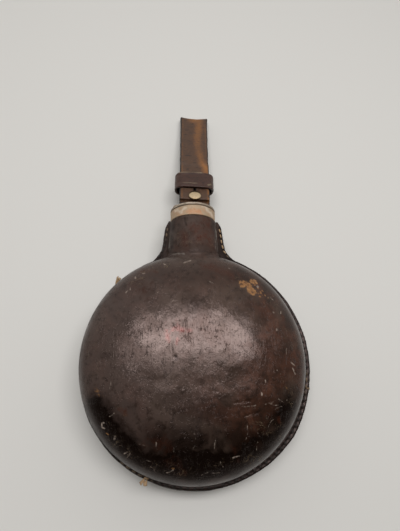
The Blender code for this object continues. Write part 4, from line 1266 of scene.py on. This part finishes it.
# Painted shade in the slit and round the staple, on the same layer as the dark edges
in_slit = (np.abs(across) < 1.1) & (along > 6.5) & (along < 16.8) & (up > 3.0)
staple_turn_shade = 0.75 * (1.0 - ease(along, 1.0, 2.4)) * (up < 4.0)
dark = (ease(sideways, 0.85, 0.97), staple_turn_shade, 1.2 * in_slit)
paint(strap, "edge", np.maximum.reduce(dark))
streak_along, streak_across, streak_share = zip(*STREAK)
middle, strength = (np.interp(along, streak_along, row) for row in (streak_across, streak_share))
streak = strength * np.exp(-((across + stray[:, 0] - middle) / STREAK_WIDTH) ** 2)
streak *= 0.85 + 0.3 * stray[:, 1]
at_fold = 0.8 * ease(along, 96.0, 106.0) * np.exp(-((across - 1.0) / 7.0) ** 2)
flecks = near(places, STRAP_FLECKS, wander(places, 2 * MM, 0.4)) * (up > 3.0)
near_edge = 0.45 * ease(sideways, 0.72, 0.84) * (1.0 - ease(sideways, 0.84, 0.94))
near_edge *= 0.5 + stray[:, 1]
paint(strap, "rub", np.clip(np.maximum.reduce((streak, at_fold, near_edge, flecks)), 0.0, 1.3))
hand_in(strap, harness, "strap", "strap")


# The stud is a domed button of plated brass, turned in one piece with its shank, pushed through
# the strap's first end from outside and riveted over a washer.

STUD_RADIUS = 0.0054
STUD_RISE = 0.0018
STUD_SHANK = 0.0015
WASHER_RADIUS = 0.0036
WASHER_THICKNESS = 0.0008
STUD_EDGE = 0.0005
STUD_STEPS = 10

face = OUTER_OFFSET + STRAP_THICKNESS / 2 + GAP
stud_under = LAYER_OFFSET - STRAP_THICKNESS / 2 - GAP
tail = stud_under - WASHER_THICKNESS - GAP
dome = [(0.0, face + STUD_RISE)]
for step in range(1, STUD_STEPS + 1):
    turn = 0.5 * math.pi * step / STUD_STEPS
    height = face + STUD_EDGE + (STUD_RISE - STUD_EDGE) * math.cos(turn)
    dome.append((STUD_RADIUS * math.sin(turn), height))
dome += [(STUD_RADIUS - 0.1 * MM, face + 0.15 * MM), (STUD_RADIUS - GAP, face), (STUD_SHANK, face)]
dome += [
    (STUD_SHANK, tail), (1.5 * STUD_SHANK, tail), (STUD_SHANK, tail - 2 * GAP),
    (0.0, tail - 3 * GAP),
]
washer_line = [(WASHER_RADIUS, stud_under), (WASHER_RADIUS, stud_under - WASHER_THICKNESS)]
washer_line += [(STUD_SHANK + GAP, stud_under - WASHER_THICKNESS), (STUD_SHANK + GAP, stud_under)]
# Rubbed nickelled brass: bright on the dome, olive brown where dirt stays round its foot, and
# painted shade over the dome's side toward the slit
stud_metal, place = new_finish("rubbed_nickelled_brass")
spots = add_node(stud_metal, "TexNoise", {"Vector": place, "Scale": 1 / (1.6 * MM), "Detail": 4.0})
foot = add_node(stud_metal, "Attribute", (), "Fac", attribute_name="foot")
colour = layered(stud_metal, "c9ad88", (spots, 0, 1, 1, "e6d2b2"), (foot, 0, 1, 1, "4b3b26"))
surface(stud_metal, colour, (spots, 0.3, 0.7, 0.36, 0.50), Metallic=1.0)
for name, line, finish, slot, node in (
    ("button_stud", dome, stud_metal, "stud_metal", "strap_stud"),
    ("stud_rivet_washer", washer_line, tin, "flask_metal", "stud_washer"),
):
    part = turned(name, line, 48, BODY_AXIS)
    places = vertex_rows(part)
    # Painted shade over the side toward the slit: the bright part is an ellipse shifted away from
    # it
    off_lit_part = np.hypot(places[:, 0], 1.35 * (places[:, 1] + 0.9 * MM))
    paint(part, "foot", ease(off_lit_part, 0.82 * STUD_RADIUS, 1.05 * STUD_RADIUS))
    part.data.transform(stud_foot @ Matrix.Translation((0.0, 0.0, -SEAM_HEIGHT)))
    smooth(part)
    hand_in(part, finish, "strap", node)


# The keeper is a short band of softer leather round the strap, closed on itself behind. It has
# taken the strap's shape, and slides along it to hold the end down.

KEEPER_LENGTH = 0.0165
KEEPER_START = 0.016
KEEPER_WALL = 0.0021
KEEPER_WIDTH = 0.0338
STRAP_SLACK = 0.0006
KEEPER_ROWS = 20
KEEPER_TAPER = 0.0026
KEEPER_RIDGES = ((-9, 148.3, 4, 148.2, 0.8, 0.9), (-12, 159.5, 8, 160.0, 1.0, 0.8))
KEEPER_FURROWS = (
    (-12, 149.9, 8, 149.8, 0.9, 0.7), (-13, 157.6, 12, 158.0, 1.2, 0.5),
    (4, 147, 15, 146.5, 1.2, 0.5),
)
KEEPER_STEPS = 96
KEEPER_SQUARENESS = (5.0, 2.6)
RIDGE_HEIGHT = 0.35 * MM
FURROW_DEPTH = 0.4 * MM

keeper_low = -LAYER_OFFSET - STRAP_THICKNESS / 2 - STRAP_SLACK - KEEPER_WALL / 2
keeper_high = OUTER_OFFSET + STRAP_THICKNESS / 2 + STRAP_SLACK + KEEPER_WALL / 2
keeper_middle, keeper_half = (keeper_high + keeper_low) / 2, (keeper_high - keeper_low) / 2
keeper_foot = frame_on_strap(KEEPER_START + KEEPER_LENGTH / 2)
loop = []
for step in range(KEEPER_STEPS):
    turn = 2 * math.pi * step / KEEPER_STEPS
    across, up = (
        math.copysign(abs(part) ** (2 / squareness), part)
        for part, squareness in zip((math.cos(turn), math.sin(turn)), KEEPER_SQUARENESS)
    )
    across *= (KEEPER_WIDTH - KEEPER_WALL) / 2
    loop.append((across, -KEEPER_LENGTH / 2, keeper_middle + up * keeper_half))
keeper = drawn("strap_keeper_band", loop, closed=True)
one_row = {"TRANSFORM_OT_translate": {"value": (0.0, KEEPER_LENGTH / KEEPER_ROWS, 0.0)}}
edit(keeper, *[(bpy.ops.mesh.extrude_edges_move, one_row)] * KEEPER_ROWS)
tidy(keeper)
modify(keeper, "SOLIDIFY", thickness=KEEPER_WALL, offset=0.0, use_even_offset=True)
round_edges(keeper, 0.6 * MM, 3)
swell(keeper, "keeper_creases", 5 * MM, 0.35 * MM)
for vertex in keeper.data.vertices:
    depth = (keeper_high - vertex.co.z) / (keeper_high - keeper_low)
    near_end = 0.5 - vertex.co.y / KEEPER_LENGTH
    vertex.co.y += KEEPER_TAPER * float(ease(depth, 0.0, 0.5)) * near_end
keeper.data.transform(keeper_foot)
press(keeper, KEEPER_RIDGES, -RIDGE_HEIGHT)
press(keeper, KEEPER_FURROWS, FURROW_DEPTH)
smooth(keeper, 50.0)
# Softer belly leather: purple-brown, waxed, with creases across, a pale scuff, and painted
# highlights along its top edge and a ridge near its lower edge
belly, place = new_finish("soft_keeper_leather")
cloudy, fine = (
    add_node(belly, "TexNoise", {
        "Vector": place, "Scale": 1 / (size * MM), "Detail": detail, "Roughness": 0.6,
    }) for size, detail in ((5, 5.0), (1.4, 4.0))
)
scuff_and_highlight = add_node(belly, "Attribute", (), "Fac", attribute_name="scuff_and_highlight")
scuffed_and_lit = add_node(belly, "Math", (fine, 0.8, scuff_and_highlight), operation="MULTIPLY_ADD")
colour = layered(
    belly, "2b1710", (cloudy, 0, 1, 1, "4b2c20"), (fine, 0.54, 0.76, 1, "1a100d"),
    (scuffed_and_lit, 0.65, 1.6, 1, "8c7b62"),
)
surface(belly, colour, (cloudy, 0.35, 0.65, 0.34, 0.50), fine, 0.2 * MM, IOR=1.48)
# A pale scuff, then painted highlights along the top edge and a ridge near the lower edge
KEEPER_SCUFFS_AND_HIGHLIGHTS = (
    (13.5, 147.2, 15.5, 148.2, 1.1, 0.8), (-11, 160.4, 4, 160.8, 0.8, 0.85),
    (4, 160.8, 9, 160.6, 1.0, 1.1), (-8, 148.6, 3, 148.4, 0.7, 0.7),
)
places = vertex_rows(keeper)
scuffs_and_highlights = near(places, KEEPER_SCUFFS_AND_HIGHLIGHTS, wander(places, 3 * MM, 0.5))
paint(keeper, "scuff_and_highlight", scuffs_and_highlights * (places[:, 2] > 0.024))
hand_in(keeper, belly, "keeper", "strap_keeper")


# The room: a sheet of pale paper, one wide soft lamp beyond the cap and dim walls that fill the
# shadows. The camera stands where the photograph was taken from.

FLOOR_SIZE = 4.0
LAMP_PLACE = Vector((0.042, 0.236, 1.09))
LAMP_ROLL = math.radians(9)
LAMP_SIZE = (0.96, 0.28)
LAMP_WATTS = 8.6
CAMERA_PLACE = (-0.02295, -0.02263, 0.33208)
CAMERA_TURN = (0.312068852, -0.0882733006, -0.0152506603)
SENSOR_WIDTH = 36.0
LENS = 27.05

bpy.ops.mesh.primitive_plane_add(size=FLOOR_SIZE, location=(0.0, 0.0, 0.0))
floor = bpy.context.object
floor.name = "paper_floor"
# Matt paper: pale, slightly warm
paper, _ = new_finish("pale_paper")
surface(paper, "dbd9d5", 0.9)
give(floor, paper)

room = bpy.data.worlds.new("dim_room")
bpy.context.scene.world = room
room.use_nodes = True
# The room is dim and brown above the photographer, lighter beyond the cap, and grey low down
direction = add_node(room, "TexCoord", (), "Generated")
ways = add_node(room, "SeparateXYZ", (direction,)).node.outputs
above_camera = (ways["Z"], 0.05, 0.50, 1, "352c26")
beyond_cap = (ways["Y"], -0.3, 0.6, 1, "cfcfcc")
glow = layered(room, "7c7874", above_camera, beyond_cap)
connect(room, room.node_tree.nodes["Background"], {"Color": glow})

bpy.ops.object.light_add(type="AREA", location=LAMP_PLACE)
lamp = bpy.context.object
lamp.name = "wide_soft_lamp"
lamp_aim = (-LAMP_PLACE).to_track_quat("-Z", "Y")
lamp.rotation_euler = (lamp_aim @ Quaternion((0.0, 0.0, 1.0), LAMP_ROLL)).to_euler()
lamp.data.shape = "RECTANGLE"
lamp.data.size, lamp.data.size_y = LAMP_SIZE
lamp.data.energy = LAMP_WATTS

bpy.ops.object.camera_add(location=CAMERA_PLACE, rotation=CAMERA_TURN)
camera = bpy.context.object
camera.data.sensor_width = SENSOR_WIDTH
camera.data.lens = LENS
camera.data.clip_start = 0.01
bpy.context.scene.camera = camera
bpy.context.scene.view_settings.view_transform = "Standard"
